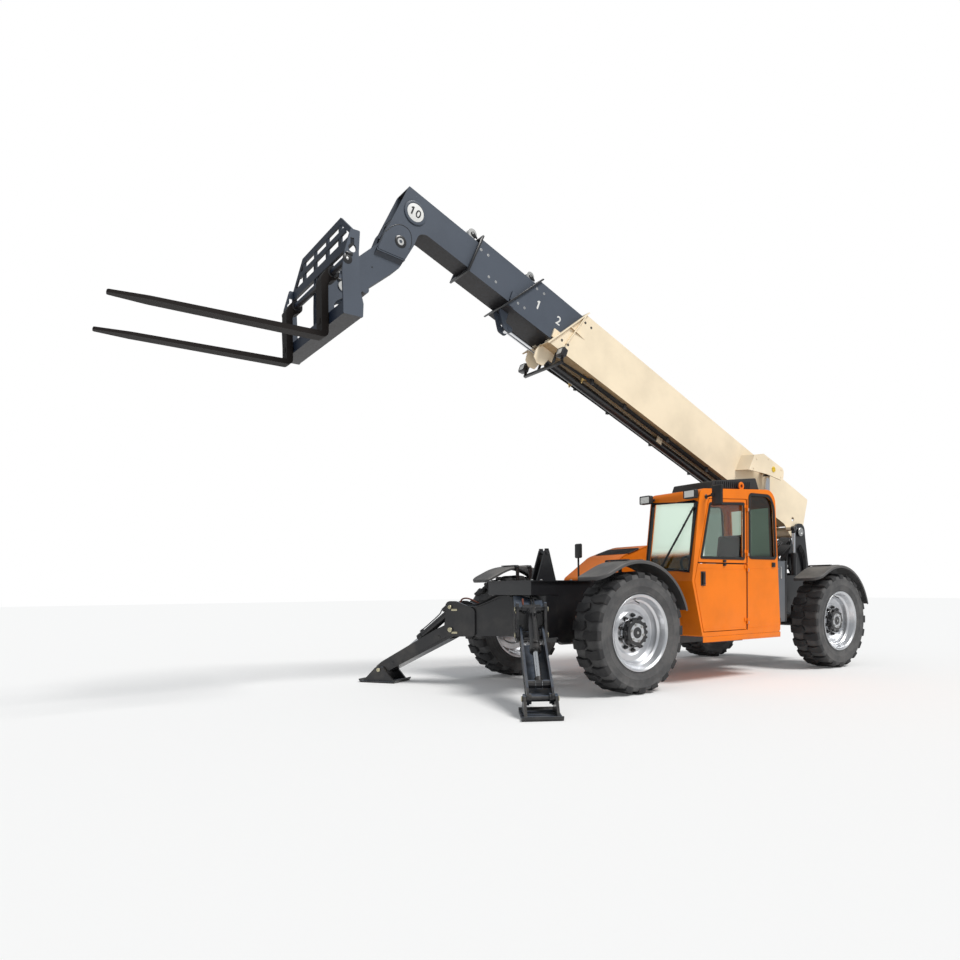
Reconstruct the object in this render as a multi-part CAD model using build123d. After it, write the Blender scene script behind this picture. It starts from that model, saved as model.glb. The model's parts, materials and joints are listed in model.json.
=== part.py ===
"""Telescopic handler with a four-section boom, front stabilizers and four-wheel steering.

Millimetres, +X forward, +Y to the driver's left, +Z up.  The model is laid out from the
front axle (x = 0) and moved at export so that its origin is the middle of its footprint.
"""
import math
import os

from build123d import *

# ---------------------------------------------------------------- running gear
WHEELBASE = 3730.0
TYRE_RADIUS = 623.5
TYRE_WIDTH = 380.0
WIDTH_OVER_TYRES = 2440.0
RIM_SEAT_RADIUS = 368.0
RIM_LIP_RADIUS = 392.0
SEAT_GAP = 0.3            # a seated piece lies this far from what carries it
RUN_GAP = 6.0             # least space between pieces that pass each other
HUB_BORE = 60.0
KINGPIN_INSET = 240.0     # from the middle of the tyre to the kingpin
KINGPIN_RADIUS = 30.0
YOKE_HALF_HEIGHT = 156.0  # underside of the upper yoke lug above the wheel's axis
YOKE_THICKNESS = 40.0
YOKE_RADIUS = 62.0
AXLE_TUBE_RADIUS = 90.0
DIFFERENTIAL_RADIUS = 185.0
FENDER_RADIUS = 729.0
FENDER_WALL = 8.0
FENDER_FRONT_ANGLE = 65.0
FENDER_TONGUE = 246.0
FENDER_REAR_ANGLE = 163.0
FENDER_INSIDE = -205.0    # across the wheel, from the middle of the tyre
FENDER_OUTSIDE = 185.0
STAY_OFFSET = 95.0

# ---------------------------------------------------------------- frame
RAIL_OUTSIDE = 400.0
RAIL_WALL = 25.0
RAIL_BOTTOM = 400.0
RAIL_TOP_FRONT = 1165.0
RAIL_TOP_MIDDLE = 930.0
RAIL_FRONT = 430.0
NOTCH_TOP = 820.0          # the rails are cut away over each axle
NOTCH_HALF = 190.0
DECK_FRONT = 780.0
TAIL_X = -(WHEELBASE + 830.0)
TOWER_INSIDE = 228.0
TOWER_WALL = 28.0
PIVOT_X = -(WHEELBASE + 520.0)
PIVOT_Z = 1884.0
PIVOT_PIN_RADIUS = 45.0
GLAND_LENGTH = 46.0
LIFT_FOOT_X = -(WHEELBASE - 400.0)
LIFT_FOOT_Z = 720.0
LEVEL_FOOT_X = -(WHEELBASE + 288.0)
LEVEL_FOOT_Z = 940.0
LEVEL_Y = 312.0

# ---------------------------------------------------------------- boom
BOOM_ANGLE = 22.0
STEP = 430.0              # how far each section stands out from its closed place
# sections, in the boom's own frame: s along the boom from its pivot, t up from it
# columns: half width, bottom t, top t, wall, rear s, front s at the top, at the bottom
BASE = (210.0, -15.0, 570.0, 10.0, -79.0, 4645.0, 4993.0)
SECTION_2 = (180.0, 55.0, 545.0, 8.0, 650.0, 5308.0, 5590.0)
SECTION_3 = (152.0, 115.0, 505.0, 8.0, 1185.0, 6075.0, 6095.0)
SECTION_4 = (125.0, 154.0, 467.0, 8.0, 1700.0, 6700.0, 6700.0)
COLLAR_REACH = 28.0       # how far a section's front collar stands out
COLLAR_DEPTH = 16.0
PAD_LENGTH = 160.0
LIFT_S = 1093.0
LIFT_T = 441.0
LIFT_Y = 297.0
LIFT_BARREL_RADIUS = 66.0
LIFT_ROD_RADIUS = 42.0
LEVEL_S = 230.0
LEVEL_T = -50.0
LEVEL_BARREL_RADIUS = 42.0
LEVEL_ROD_RADIUS = 24.0
LEVEL_EYE_HALF = LEVEL_ROD_RADIUS + 4
LIFT_EYE_HALF = LIFT_ROD_RADIUS + 4
EXTEND_T = -82.0
EXTEND_BARREL_RADIUS = 49.0
EXTEND_BORE = 42.0
EXTEND_ROD_RADIUS = 27.0
EXTEND_EYE_S = 5402.0
EXTEND_GLAND_S = 4920.0
EXTEND_TAIL_S = 1060.0
NOSE_HALF = 90.0
NOSE_WALL = 22.0
TILT_S = 6785.0           # pin of the tilt cylinder's barrel in the head
TILT_T = -84.0
TILT_BARREL_RADIUS = 46.0
TILT_ROD_RADIUS = 26.0

# ---------------------------------------------------------------- carriage and forks
CARRIAGE_X = PIVOT_X + 6890.0  # pin that the carriage turns on
CARRIAGE_Z = 3790.0
CARRIAGE_PIN_RADIUS = 32.0
TILT_EAR_X = CARRIAGE_X + 30.0
TILT_EAR_Z = CARRIAGE_Z + 150.0
CARRIAGE_HALF = 765.0
CARRIAGE_WALL = 20.0
CARRIAGE_TOP_HALF = 470.0
SHAFT_X = CARRIAGE_X + 218.0
SHAFT_Z = 3740.0
SHAFT_RADIUS = 28.0
FORK_LEFT_Y = 400.0
FORK_RIGHT_Y = 500.0
FORK_WIDTH = 124.0
FORK_THICKNESS = 58.0     # of the shank
FORK_HEEL = 46.0          # of the blade at the heel and at the tip
FORK_TIP = 24.0
FORK_LENGTH = 1524.0
FORK_BACK = CARRIAGE_X + 262.0
FORK_HEEL_Z = 3185.0

# ---------------------------------------------------------------- stabilizers
STAB_X = 1011.0
STAB_Y = 715.0
STAB_Z = 627.0
STAB_HEADING = 57.8       # degrees outwards from straight ahead
STAB_HALF = 147.0
STAB_LEG = 1051.0
STAB_ANGLE = -27.0        # slope of the leg as it stands on its pad
STAB_LIFT_PIN = 253.0     # cylinder's upper pin above the leg's pivot
STAB_ROD_ALONG = 880.0    # cylinder's lower pin along the leg, and above its middle line
STAB_ROD_ABOVE = 30.0
STAB_BARREL_RADIUS = 46.0
STAB_ROD_RADIUS = 27.0
PAD_PIN_HEIGHT = STAB_Z + STAB_LEG * math.sin(math.radians(STAB_ANGLE))

# ---------------------------------------------------------------- cab and engine housing
CAB_OUTSIDE = 1160.0
CAB_INSIDE = 430.0
CAB_WALL = 45.0
DOOR_REAR = -1776.0
WAIST_Z = 1356.0
HOOD_OUTSIDE = -1160.0
HOOD_INSIDE = -440.0
HOOD_SEAM_Z = 1120.0
POD_FRONT = -905.0
POD_REAR = -2880.0
POD_BOTTOM = 560.0
POD_WALL = 14.0
HOOD_TOP = 1674.0
HOOD_SKIN = 12.0
HOOD_HINGE_Y = -431.0
HOOD_HINGE_Z = 1650.0
HOOD_HINGES = (-2730.0, -2545.0, -2360.0)
TANK_INSIDE = 450.0

CAB_FLOOR = 534.0 + CAB_WALL
DASH_FOOT = 48.342
KINK_Z = 1149.0
DOOR_KINK_X = -862.0
DOOR_LOW = 583.0
DOOR_HIGH = 2062.0
DOOR_GAP = 8.0
HINGE_Y = CAB_OUTSIDE + 12
HINGE_HEIGHTS = (650.0, 1260.0, 1440.0, 1960.0)
GUARD_OUTSIDE = 402.0
LEG_HALF = 117.0
LEG_WALL = 20.0
ROD_EYE_HALF = STAB_ROD_RADIUS + 3
TILT_EYE_HALF = TILT_ROD_RADIUS + 4
CARRIAGE_LOW = 3298.0
STABILIZER_PLACE = Plane(
    origin=(STAB_X, STAB_Y, STAB_Z),
    x_dir=(math.cos(math.radians(STAB_HEADING)), math.sin(math.radians(STAB_HEADING)), 0),
    z_dir=(0, 0, 1),
).location

TRACK_Y = (WIDTH_OVER_TYRES - TYRE_WIDTH) / 2
KINGPIN_Y = TRACK_Y - KINGPIN_INSET
FORK_TIP_X = FORK_BACK + FORK_THICKNESS + FORK_LENGTH
ORIGIN_X = (FORK_TIP_X + TAIL_X) / 2
CARRIAGE_S = (CARRIAGE_X - PIVOT_X) * math.cos(math.radians(BOOM_ANGLE)) + (
    CARRIAGE_Z - PIVOT_Z) * math.sin(math.radians(BOOM_ANGLE))
CARRIAGE_T = (CARRIAGE_Z - PIVOT_Z) * math.cos(math.radians(BOOM_ANGLE)) - (
    CARRIAGE_X - PIVOT_X) * math.sin(math.radians(BOOM_ANGLE))
BOOM_PLACE = Pos(PIVOT_X, 0, PIVOT_Z) * Rot(0, -BOOM_ANGLE, 0)


# ---------------------------------------------------------------- shapes
def block(x0, x1, y0, y1, z0, z1):
    """Box between two corners."""
    return Pos((x0 + x1) / 2, (y0 + y1) / 2, (z0 + z1) / 2) * Box(x1 - x0, y1 - y0, z1 - z0)


def outline(points, radii):
    """Flat face inside a closed run of lines with a radius at each corner."""
    return Face(Wire(FilletPolyline(*points, radius=radii, close=True).edges()))


def side_plate(rows, y0, y1):
    """Plate across Y from rows of (x, z, corner radius)."""
    face = outline([(x, y0, z) for x, z, _ in rows], [r for _, _, r in rows])
    return extrude(face, amount=y1 - y0, dir=(0, 1, 0))


def level_plate(rows, z0, z1):
    """Plate across Z from rows of (x, y, corner radius)."""
    face = outline([(x, y, z0) for x, y, _ in rows], [r for _, _, r in rows])
    return extrude(face, amount=z1 - z0, dir=(0, 0, 1))


def cross_plate(rows, x0, x1):
    """Plate across X from rows of (y, z, corner radius)."""
    face = outline([(x0, y, z) for y, z, _ in rows], [r for _, _, r in rows])
    return extrude(face, amount=x1 - x0, dir=(1, 0, 0))


def bar(start, end, radius):
    """Round bar between two points."""
    start = Vector(*start)
    run = Vector(*end) - start
    return Solid.make_cylinder(radius, run.length, Plane(origin=start, z_dir=run))


def pin_y(x, z, radius, y0, y1):
    """Round pin across the machine."""
    return bar((x, y0, z), (x, y1, z), radius)


def spun(rows):
    """Solid turned about the Y axis from rows of (radius, y, corner radius)."""
    face = outline([(r, y, 0) for r, y, _ in rows], [f for _, _, f in rows])
    return revolve(face, Axis.Y)


def both_sides(shape):
    """A shape and its mirror image across the middle plane."""
    return [shape, shape.mirror(Plane.XZ)]


def fused(first, *others):
    """One solid from several that overlap or touch."""
    result = first
    for other in others:
        for piece in other if isinstance(other, list) else [other]:
            result = result + piece
    return result


def cut(first, *others):
    """First shape without the others."""
    result = first
    for other in others:
        for piece in other if isinstance(other, list) else [other]:
            result = result - piece
    return result


# ---------------------------------------------------------------- wheels
def tyre():
    """Tyre about the Y axis, with a flat tread, round shoulders and full sidewalls."""
    half = TYRE_WIDTH / 2
    bead = RIM_SEAT_RADIUS + SEAT_GAP
    rows = []
    for side in (1, -1):
        wall = [
            (bead, side * (half - 25), 6),
            (RIM_LIP_RADIUS + 6, side * (half - 25), 6),
            (440, side * (half - 6), 40),
            (520, side * half, 60),
            (TYRE_RADIUS - 18, side * (half - 12), 20),
            (TYRE_RADIUS, side * (half - 48), 12),
        ]
        rows += wall if side == 1 else wall[::-1]
    return spun(rows)


def rim():
    """Pressed rim, its dished disc and the planetary hub, about the Y axis."""
    seat = TYRE_WIDTH / 2 - 25 + SEAT_GAP
    lip = seat + 12
    band = spun([
        (RIM_LIP_RADIUS, lip, 4),
        (RIM_LIP_RADIUS, seat, 0),
        (RIM_SEAT_RADIUS, seat, 0),
        (RIM_SEAT_RADIUS, -seat, 0),
        (RIM_LIP_RADIUS, -seat, 0),
        (RIM_LIP_RADIUS, -lip, 4),
        (RIM_LIP_RADIUS - 24, -lip, 8),
        (346, -70, 40),
        (318, -30, 20),
        (300, 6, 10),
        (232, 6, 8),
        (216, 22, 8),
        (HUB_BORE + 40, 22, 0),
        (HUB_BORE + 40, 48, 0),
        (212, 48, 14),
        (236, 28, 10),
        (296, 28, 14),
        (316, 92, 16),
        (338, 104, 12),
        (RIM_LIP_RADIUS - 30, lip - 12, 12),
        (RIM_LIP_RADIUS - 12, lip, 4),
    ])
    hub = spun([
        (HUB_BORE + SEAT_GAP, -95, 0),
        (118, -95, 6),
        (126, 22, 0),
        (150, 30, 0),
        (150, 84, 10),
        (104, 92, 6),
        (98, 122, 8),
        (0, 122, 0),
        (0, 66, 0),
        (HUB_BORE + SEAT_GAP, 66, 0),
    ])
    return fused(band, hub)


def knuckle():
    """Steering knuckle with its spindle, kingpins and the fender's two bent stays."""
    boss_top = YOKE_HALF_HEIGHT - RUN_GAP
    spindle = bar((0, -KINGPIN_INSET + 40, 0), (0, 60, 0), HUB_BORE)
    flange = bar((0, -150, 0), (0, -95 - RUN_GAP, 0), 112)
    body = bar((0, -KINGPIN_INSET, -boss_top), (0, -KINGPIN_INSET, boss_top), 58)
    web = block(-48, 48, -KINGPIN_INSET, -118, -100, 100)
    pins = []
    for side in (1, -1):
        pins.append(bar(
            (0, -KINGPIN_INSET, side * (boss_top - 10)),
            (0, -KINGPIN_INSET, side * (YOKE_HALF_HEIGHT + YOKE_THICKNESS)),
            KINGPIN_RADIUS,
        ))
    crown = FENDER_RADIUS + FENDER_WALL
    rest = math.sqrt(crown**2 - (STAY_OFFSET - 22) ** 2) + SEAT_GAP
    stays = []
    for side in (1, -1):
        x0, x1 = sorted((side * (STAY_OFFSET - 22), side * (STAY_OFFSET + 22)))
        stays.append(cross_plate([
            (-222, -40, 0),
            (-222, rest, 0),
            (90, rest, 0),
            (90, rest + 12, 4),
            (-234, rest + 12, 24),
            (-234, -40, 0),
        ], x0, x1))
        foot = sorted((side * 40, side * (STAY_OFFSET + 22)))
        stays.append(block(foot[0], foot[1], -234, -206, -40, 60))
    return fused(spindle, flange, body, web, pins, stays)


def fender():
    """Moulded fender: an arched channel with turned-down lips and a drooped front."""
    crown = FENDER_RADIUS + FENDER_WALL
    lip = FENDER_RADIUS - 28
    section = [
        (lip, FENDER_INSIDE, 0),
        (crown, FENDER_INSIDE, 16),
        (crown, FENDER_OUTSIDE, 16),
        (lip, FENDER_OUTSIDE, 0),
        (lip, FENDER_OUTSIDE - FENDER_WALL, 0),
        (FENDER_RADIUS, FENDER_OUTSIDE - FENDER_WALL, 8),
        (FENDER_RADIUS, FENDER_INSIDE + FENDER_WALL, 8),
        (lip, FENDER_INSIDE + FENDER_WALL, 0),
    ]
    face = outline([(r, y, 0) for r, y, _ in section], [f for _, _, f in section])
    arch = revolve(face, Axis.Y, FENDER_REAR_ANGLE - FENDER_FRONT_ANGLE)
    wall = FENDER_WALL
    tongue = cross_plate([
        (FENDER_INSIDE, 0, 0),
        (FENDER_OUTSIDE, 0, 0),
        (FENDER_OUTSIDE, -FENDER_TONGUE, 120),
        (FENDER_INSIDE, -FENDER_TONGUE, 40),
    ], lip, crown)
    rim_edges = tongue.edges().filter_by(lambda edge: edge.center().X > crown - 1 and edge.center().Z < -1)
    tongue = fillet(rim_edges, 16)
    hollow = cross_plate([
        (FENDER_INSIDE + wall, 1, 0),
        (FENDER_OUTSIDE - wall, 1, 0),
        (FENDER_OUTSIDE - wall, wall - FENDER_TONGUE, 120 - wall),
        (FENDER_INSIDE + wall, wall - FENDER_TONGUE, 40 - wall),
    ], lip - 1, FENDER_RADIUS)
    return fused(
        Rot(0, -FENDER_REAR_ANGLE, 0) * arch,
        Rot(0, -FENDER_FRONT_ANGLE, 0) * (tongue - hollow),
    )


def axle():
    """Steered axle at the wheel's height: tube, differential and a yoke at each end."""
    reach = KINGPIN_Y - YOKE_RADIUS - 40
    beam = bar((0, -reach, 0), (0, reach, 0), AXLE_TUBE_RADIUS)
    bowl = Sphere(DIFFERENTIAL_RADIUS)
    nose = bar((-DIFFERENTIAL_RADIUS - 90, 0, 0), (DIFFERENTIAL_RADIUS + 90, 0, 0), 70)
    top = YOKE_HALF_HEIGHT + YOKE_THICKNESS
    parts = [beam, bowl, nose]
    for side in (1, -1):
        y_in, y_out = sorted((side * (reach - 40), side * reach))
        parts.append(block(-YOKE_RADIUS, YOKE_RADIUS, y_in, y_out, -top, top))
        for way in (1, -1):
            z0, z1 = sorted((way * (YOKE_HALF_HEIGHT), way * top))
            y0, y1 = sorted((side * (reach - 20), side * KINGPIN_Y))
            parts.append(block(-YOKE_RADIUS, YOKE_RADIUS, y0, y1, z0, z1))
            parts.append(bar((0, side * KINGPIN_Y, z0), (0, side * KINGPIN_Y, z1), YOKE_RADIUS))
        y0, y1 = sorted((side * (RAIL_OUTSIDE - RAIL_WALL), side * RAIL_OUTSIDE))
        parts.append(block(-85, 85, y0, y1, 40, NOTCH_TOP - TYRE_RADIUS - SEAT_GAP))
    whole = fused(*parts)
    for side in (1, -1):
        whole = cut(whole, bar((0, side * KINGPIN_Y, -top - 1), (0, side * KINGPIN_Y, top + 1),
                               KINGPIN_RADIUS + SEAT_GAP))
    return whole


# ---------------------------------------------------------------- frame
def chassis_frame():
    """Two notched rails, deck, cross members, belly, pivot tower, tail and boom rest."""
    rear_axle = -WHEELBASE
    rail = side_plate([
        (RAIL_FRONT, RAIL_BOTTOM + 100, 60),
        (RAIL_FRONT, 1011, 0),
        (DECK_FRONT, 1011, 0),
        (DECK_FRONT, RAIL_TOP_FRONT, 0),
        (-260, RAIL_TOP_FRONT, 120),
        (-620, RAIL_TOP_MIDDLE, 160),
        (rear_axle + 730, RAIL_TOP_MIDDLE, 200),
        (rear_axle + 170, 1240, 120),
        (rear_axle - 570, 1240, 200),
        (TAIL_X, 900, 80),
        (TAIL_X, 520, 60),
        (rear_axle - NOTCH_HALF, 520, 60),
        (rear_axle - NOTCH_HALF, NOTCH_TOP, 60),
        (rear_axle + NOTCH_HALF, NOTCH_TOP, 60),
        (rear_axle + NOTCH_HALF, RAIL_BOTTOM, 60),
        (-NOTCH_HALF, RAIL_BOTTOM, 60),
        (-NOTCH_HALF, NOTCH_TOP, 60),
        (NOTCH_HALF, NOTCH_TOP, 60),
        (NOTCH_HALF, RAIL_BOTTOM + 100, 60),
    ], RAIL_OUTSIDE - RAIL_WALL, RAIL_OUTSIDE)
    inner = RAIL_OUTSIDE - RAIL_WALL
    deck = level_plate([
        (DECK_FRONT + 20, -430, 30),
        (DECK_FRONT + 20, 430, 30),
        (-40, 430, 30),
        (-40, -430, 30),
    ], RAIL_TOP_FRONT - 12, RAIL_TOP_FRONT)
    nose = block(DECK_FRONT - 20, DECK_FRONT, -inner, inner, 1011, RAIL_TOP_FRONT)
    belly = block(rear_axle + 430, -500, -inner, inner, RAIL_BOTTOM, RAIL_BOTTOM + 14)
    front_wall = block(RAIL_FRONT - 20, RAIL_FRONT, -inner, inner, 500, 1011)
    tail = block(TAIL_X, TAIL_X + 60, -inner, inner, 520, 900)
    ballast = block(TAIL_X + 60, PIVOT_X + 70, -inner, inner, 520, 760)
    tubes = []
    for x, z, radius in ((-560, 800, 50), (-1250, 800, 50), (-2500, 800, 50)):
        tubes.append(pin_y(x, z, radius, -inner, inner))
    tower = side_plate([
        (PIVOT_X + 170, 520, 0),
        (PIVOT_X + 190, 1260, 60),
        (PIVOT_X + 390, 1530, 60),
        (PIVOT_X + 395, 1640, 50),
        (PIVOT_X + 345, 1742, 30),
        (PIVOT_X + 262, 1690, 40),
        (PIVOT_X + 135, 1780, 40),
        (PIVOT_X + 118, PIVOT_Z - 20, 0),
        (PIVOT_X + 100, PIVOT_Z + 124, 96),
        (PIVOT_X - 128, PIVOT_Z + 124, 110),
        (PIVOT_X - 150, PIVOT_Z - 60, 0),
        (PIVOT_X - 250, 1300, 120),
        (PIVOT_X - 250, 520, 0),
    ], TOWER_INSIDE, TOWER_INSIDE + TOWER_WALL)
    tower_back = block(PIVOT_X - 230, PIVOT_X - 190, -TOWER_INSIDE - 4, TOWER_INSIDE + 4, 760, 1290)
    pin = pin_y(PIVOT_X, PIVOT_Z, PIVOT_PIN_RADIUS, -TOWER_INSIDE - 10, TOWER_INSIDE + 10)
    caps = both_sides(pin_y(PIVOT_X, PIVOT_Z, 70, TOWER_INSIDE + 10, TOWER_INSIDE + TOWER_WALL + 22))
    floor = block(PIVOT_X - 250, PIVOT_X + 260, -inner, inner, 760, 790)
    lift_tube = pin_y(LIFT_FOOT_X, LIFT_FOOT_Z, 40, -inner, inner)
    level_pin = bar((LEVEL_FOOT_X, TOWER_INSIDE + 10, LEVEL_FOOT_Z), (LEVEL_FOOT_X, inner + 4, LEVEL_FOOT_Z), 22)
    rest = side_plate([
        (300, RAIL_TOP_FRONT - 4, 0),
        (395, 1500, 22),
        (445, 1500, 22),
        (560, RAIL_TOP_FRONT - 4, 0),
    ], 92, 112)
    rest_top = pin_y(420, 1465, 20, 84, 220)
    outriggers = []
    for x in (-1150, -2250):
        outriggers.append(block(x - 60, x + 60, RAIL_OUTSIDE - 10, CAB_INSIDE - SEAT_GAP, 560, 700))
        outriggers.append(block(x - 60, x + 60, HOOD_INSIDE + SEAT_GAP, 10 - RAIL_OUTSIDE, 560, 700))
    outriggers.append(block(-2700, -2580, RAIL_OUTSIDE - 10, TANK_INSIDE - SEAT_GAP, 650, 760))
    return fused(
        rail, rail.mirror(Plane.XZ), deck, nose, belly, front_wall, tail, ballast, tubes, tower,
        tower.mirror(Plane.XZ), tower_back, pin, caps, floor, lift_tube, level_pin, rest,
        Pos(0, 100, 0) * rest, rest_top, outriggers,
    )


def stabilizer_beam():
    """Centre box with two box arms, each ending in a pair of ears and its two pins."""
    centre = level_plate([
        (RAIL_FRONT + SEAT_GAP, -RAIL_OUTSIDE, 0),
        (620, -RAIL_OUTSIDE, 90),
        (720, -180, 120),
        (720, 180, 120),
        (620, RAIL_OUTSIDE, 90),
        (RAIL_FRONT + SEAT_GAP, RAIL_OUTSIDE, 0),
    ], 560, 1005)
    arm = side_plate([
        (-96, -70, 30),
        (-96, STAB_LIFT_PIN + 4, 0),
        (-330, STAB_LIFT_PIN + 4, 180),
        (-620, 368, 180),
        (-780, 368, 0),
        (-780, -60, 0),
    ], -120, 120)
    flange = side_plate([
        (-80, STAB_LIFT_PIN + 2, 0),
        (-330, STAB_LIFT_PIN + 2, 180),
        (-620, 366, 180),
        (-720, 366, 0),
        (-720, 378, 0),
        (-622, 378, 180),
        (-332, STAB_LIFT_PIN + 14, 180),
        (-80, STAB_LIFT_PIN + 14, 0),
    ], -STAB_HALF, STAB_HALF)
    ear = side_plate([
        (-300, -70, 40),
        (-40, -76, 40),
        (76, -60, 66),
        (76, 60, 40),
        (56, 150, 40),
        (64, STAB_LIFT_PIN + 66, 60),
        (-70, STAB_LIFT_PIN + 66, 64),
        (-300, STAB_LIFT_PIN - 20, 60),
    ], STAB_HALF - 24, STAB_HALF)
    pins = [
        pin_y(0, 0, 35, -STAB_HALF - 12, STAB_HALF + 12),
        pin_y(0, STAB_LIFT_PIN, 25, -STAB_HALF - 12, STAB_HALF + 12),
    ]
    side = STABILIZER_PLACE * fused(arm, flange, ear, ear.mirror(Plane.XZ), pins)
    inside = block(RAIL_FRONT + SEAT_GAP, 2000, 0, 2000, 0, 1200)
    side = side & inside
    return fused(centre, side, side.mirror(Plane.XZ))


def leg_place(angle):
    """Place of a leg's own frame in the stabilizer's upright plane."""
    return Rot(0, -angle, 0)


def stabilizer_leg():
    """Channel leg that opens outwards, with pivot, cylinder and pad bosses."""
    wall = side_plate([
        (-80, -74, 72),
        (160, -74, 200),
        (STAB_LEG - 60, -58, 60),
        (STAB_LEG + 52, -54, 50),
        (STAB_LEG + 52, 54, 50),
        (STAB_LEG - 60, 74, 120),
        (200, 92, 200),
        (-80, 78, 74),
    ], LEG_HALF - LEG_WALL, LEG_HALF)
    back = side_plate([
        (90, -73, 0),
        (160, -73, 200),
        (STAB_LEG - 100, -60, 0),
        (STAB_LEG - 100, -46, 0),
        (160, -59, 200),
        (90, -59, 0),
    ], 1 - LEG_HALF, LEG_HALF - 1)
    bosses = both_sides(pin_y(STAB_ROD_ALONG, STAB_ROD_ABOVE, 36, ROD_EYE_HALF + 4, LEG_HALF - 1))
    bosses += both_sides(pin_y(0, 0, 62, LEG_HALF - 40, LEG_HALF))
    bosses += both_sides(pin_y(STAB_LEG, 0, 46, LEG_HALF - 40, LEG_HALF))
    whole = fused(wall, wall.mirror(Plane.XZ), back, bosses)
    return cut(
        whole,
        pin_y(0, 0, 35 + SEAT_GAP, -200, 200),
        pin_y(STAB_LEG, 0, 25 + SEAT_GAP, -200, 200),
    )


def stabilizer_foot():
    """Pad with wedge cheeks and its pin, about the pin."""
    bottom = -PAD_PIN_HEIGHT
    plate = side_plate([
        (-215, bottom, 0),
        (235, bottom, 0),
        (265, bottom + 42, 6),
        (250, bottom + 42, 6),
        (225, bottom + 20, 0),
        (-205, bottom + 20, 0),
        (-230, bottom + 42, 6),
        (-245, bottom + 42, 6),
    ], -STAB_HALF - 25, STAB_HALF + 25)
    cheek = side_plate([
        (-200, bottom + 16, 0),
        (215, bottom + 16, 0),
        (44, 30, 44),
        (-44, 40, 44),
    ], STAB_HALF - 24, STAB_HALF)
    pin = pin_y(0, 0, 25, -STAB_HALF - 8, STAB_HALF + 8)
    return fused(plate, cheek, cheek.mirror(Plane.XZ), pin)


def aim(start, end):
    """Frame at one point whose X axis points at another, with Y across the machine."""
    run = Vector(end[0] - start[0], 0, end[1] - start[1])
    return Plane(origin=(start[0], 0, start[1]), x_dir=run, z_dir=Vector(-run.Z, 0, run.X)).location


def span(start, end):
    """Distance between two (x, z) points."""
    return math.hypot(end[0] - start[0], end[1] - start[1])


def barrel(length, radius, bore, rod_radius, eye, eye_half, eye_bore, port):
    """Hydraulic barrel along X from the eye at its closed end to the gland round its rod."""
    outer = bar((eye_bore + 4, 0, 0), (length, 0, 0), radius)
    gland = bar((length - GLAND_LENGTH - 10, 0, 0), (length, 0, 0), radius + 7)
    lug = pin_y(0, 0, eye, -eye_half, eye_half)
    ports = [block(x - 18, x + 18, -16, 16, radius - 8, radius + 20) for x in port]
    whole = fused(outer, gland, lug, ports)
    return cut(
        whole,
        bar((eye + 30, 0, 0), (length - GLAND_LENGTH, 0, 0), bore),
        bar((length - GLAND_LENGTH - 1, 0, 0), (length + 1, 0, 0), rod_radius + SEAT_GAP),
        pin_y(0, 0, eye_bore, -eye_half - 1, eye_half + 1),
    )


def rod(start, length, radius, bore, eye, eye_half):
    """Piston rod along X: piston at start, eye at length."""
    shaft = bar((start, 0, 0), (length, 0, 0), radius)
    piston = bar((start, 0, 0), (start + 60, 0, 0), bore - SEAT_GAP)
    lug = pin_y(length, 0, eye, -eye_half, eye_half)
    return fused(shaft, piston, lug)


def stabilizer_cylinder():
    """Barrel and rod between the beam's upper pin and the leg, in the upright plane."""
    foot = leg_point(STAB_ROD_ALONG, STAB_ROD_ABOVE, STAB_ANGLE)
    top = (0, STAB_LIFT_PIN)
    reach = span(top, foot)
    place = aim(top, foot)
    return (
        place * barrel(600, STAB_BARREL_RADIUS, STAB_BARREL_RADIUS - 8, STAB_ROD_RADIUS,
                       44, 90, 25 + SEAT_GAP, (110, 520)),
        place * rod(reach - 590, reach, STAB_ROD_RADIUS, STAB_BARREL_RADIUS - 8, 36, ROD_EYE_HALF),
    )


def leg_point(along, above, angle):
    """(x, z) of a leg's point in the upright plane at a slope in degrees."""
    c, s = math.cos(math.radians(angle)), math.sin(math.radians(angle))
    return (along * c - above * s, along * s + above * c)


def boom_point(s, t):
    """(x, z) of a point of the boom's frame at rest."""
    c, n = math.cos(math.radians(BOOM_ANGLE)), math.sin(math.radians(BOOM_ANGLE))
    return (PIVOT_X + s * c - t * n, PIVOT_Z + s * n + t * c)


# ---------------------------------------------------------------- boom
def box_beam(section):
    """Welded box beam with its front cut on a slant, in the boom's frame."""
    half, low, high, wall, rear, top, bottom = section
    outer = side_plate([(rear, low, 0), (rear, high, 0), (top, high, 0), (bottom, low, 0)], -half, half)
    inner = side_plate([
        (rear - 1, low + wall, 0),
        (rear - 1, high - wall, 0),
        (top + 500, high - wall, 0),
        (bottom + 500, low + wall, 0),
    ], wall - half, half - wall)
    return outer - inner


def collar(section):
    """Raised frame round a section's front edge, on the same slant."""
    half, low, high, wall, _, top, bottom = section
    reach = COLLAR_REACH
    slope = (bottom - top) / (high - low)
    def at(t, back):
        return top + (high - t) * slope - back
    outer = side_plate([
        (at(low - reach, COLLAR_DEPTH), low - reach, 0),
        (at(high + reach, COLLAR_DEPTH), high + reach, 0),
        (at(high + reach, 0), high + reach, 0),
        (at(low - reach, 0), low - reach, 0),
    ], -half - reach, half + reach)
    inner = block(top - 600, bottom + 600, wall - half, half - wall, low + wall, high - wall)
    return outer - inner


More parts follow.
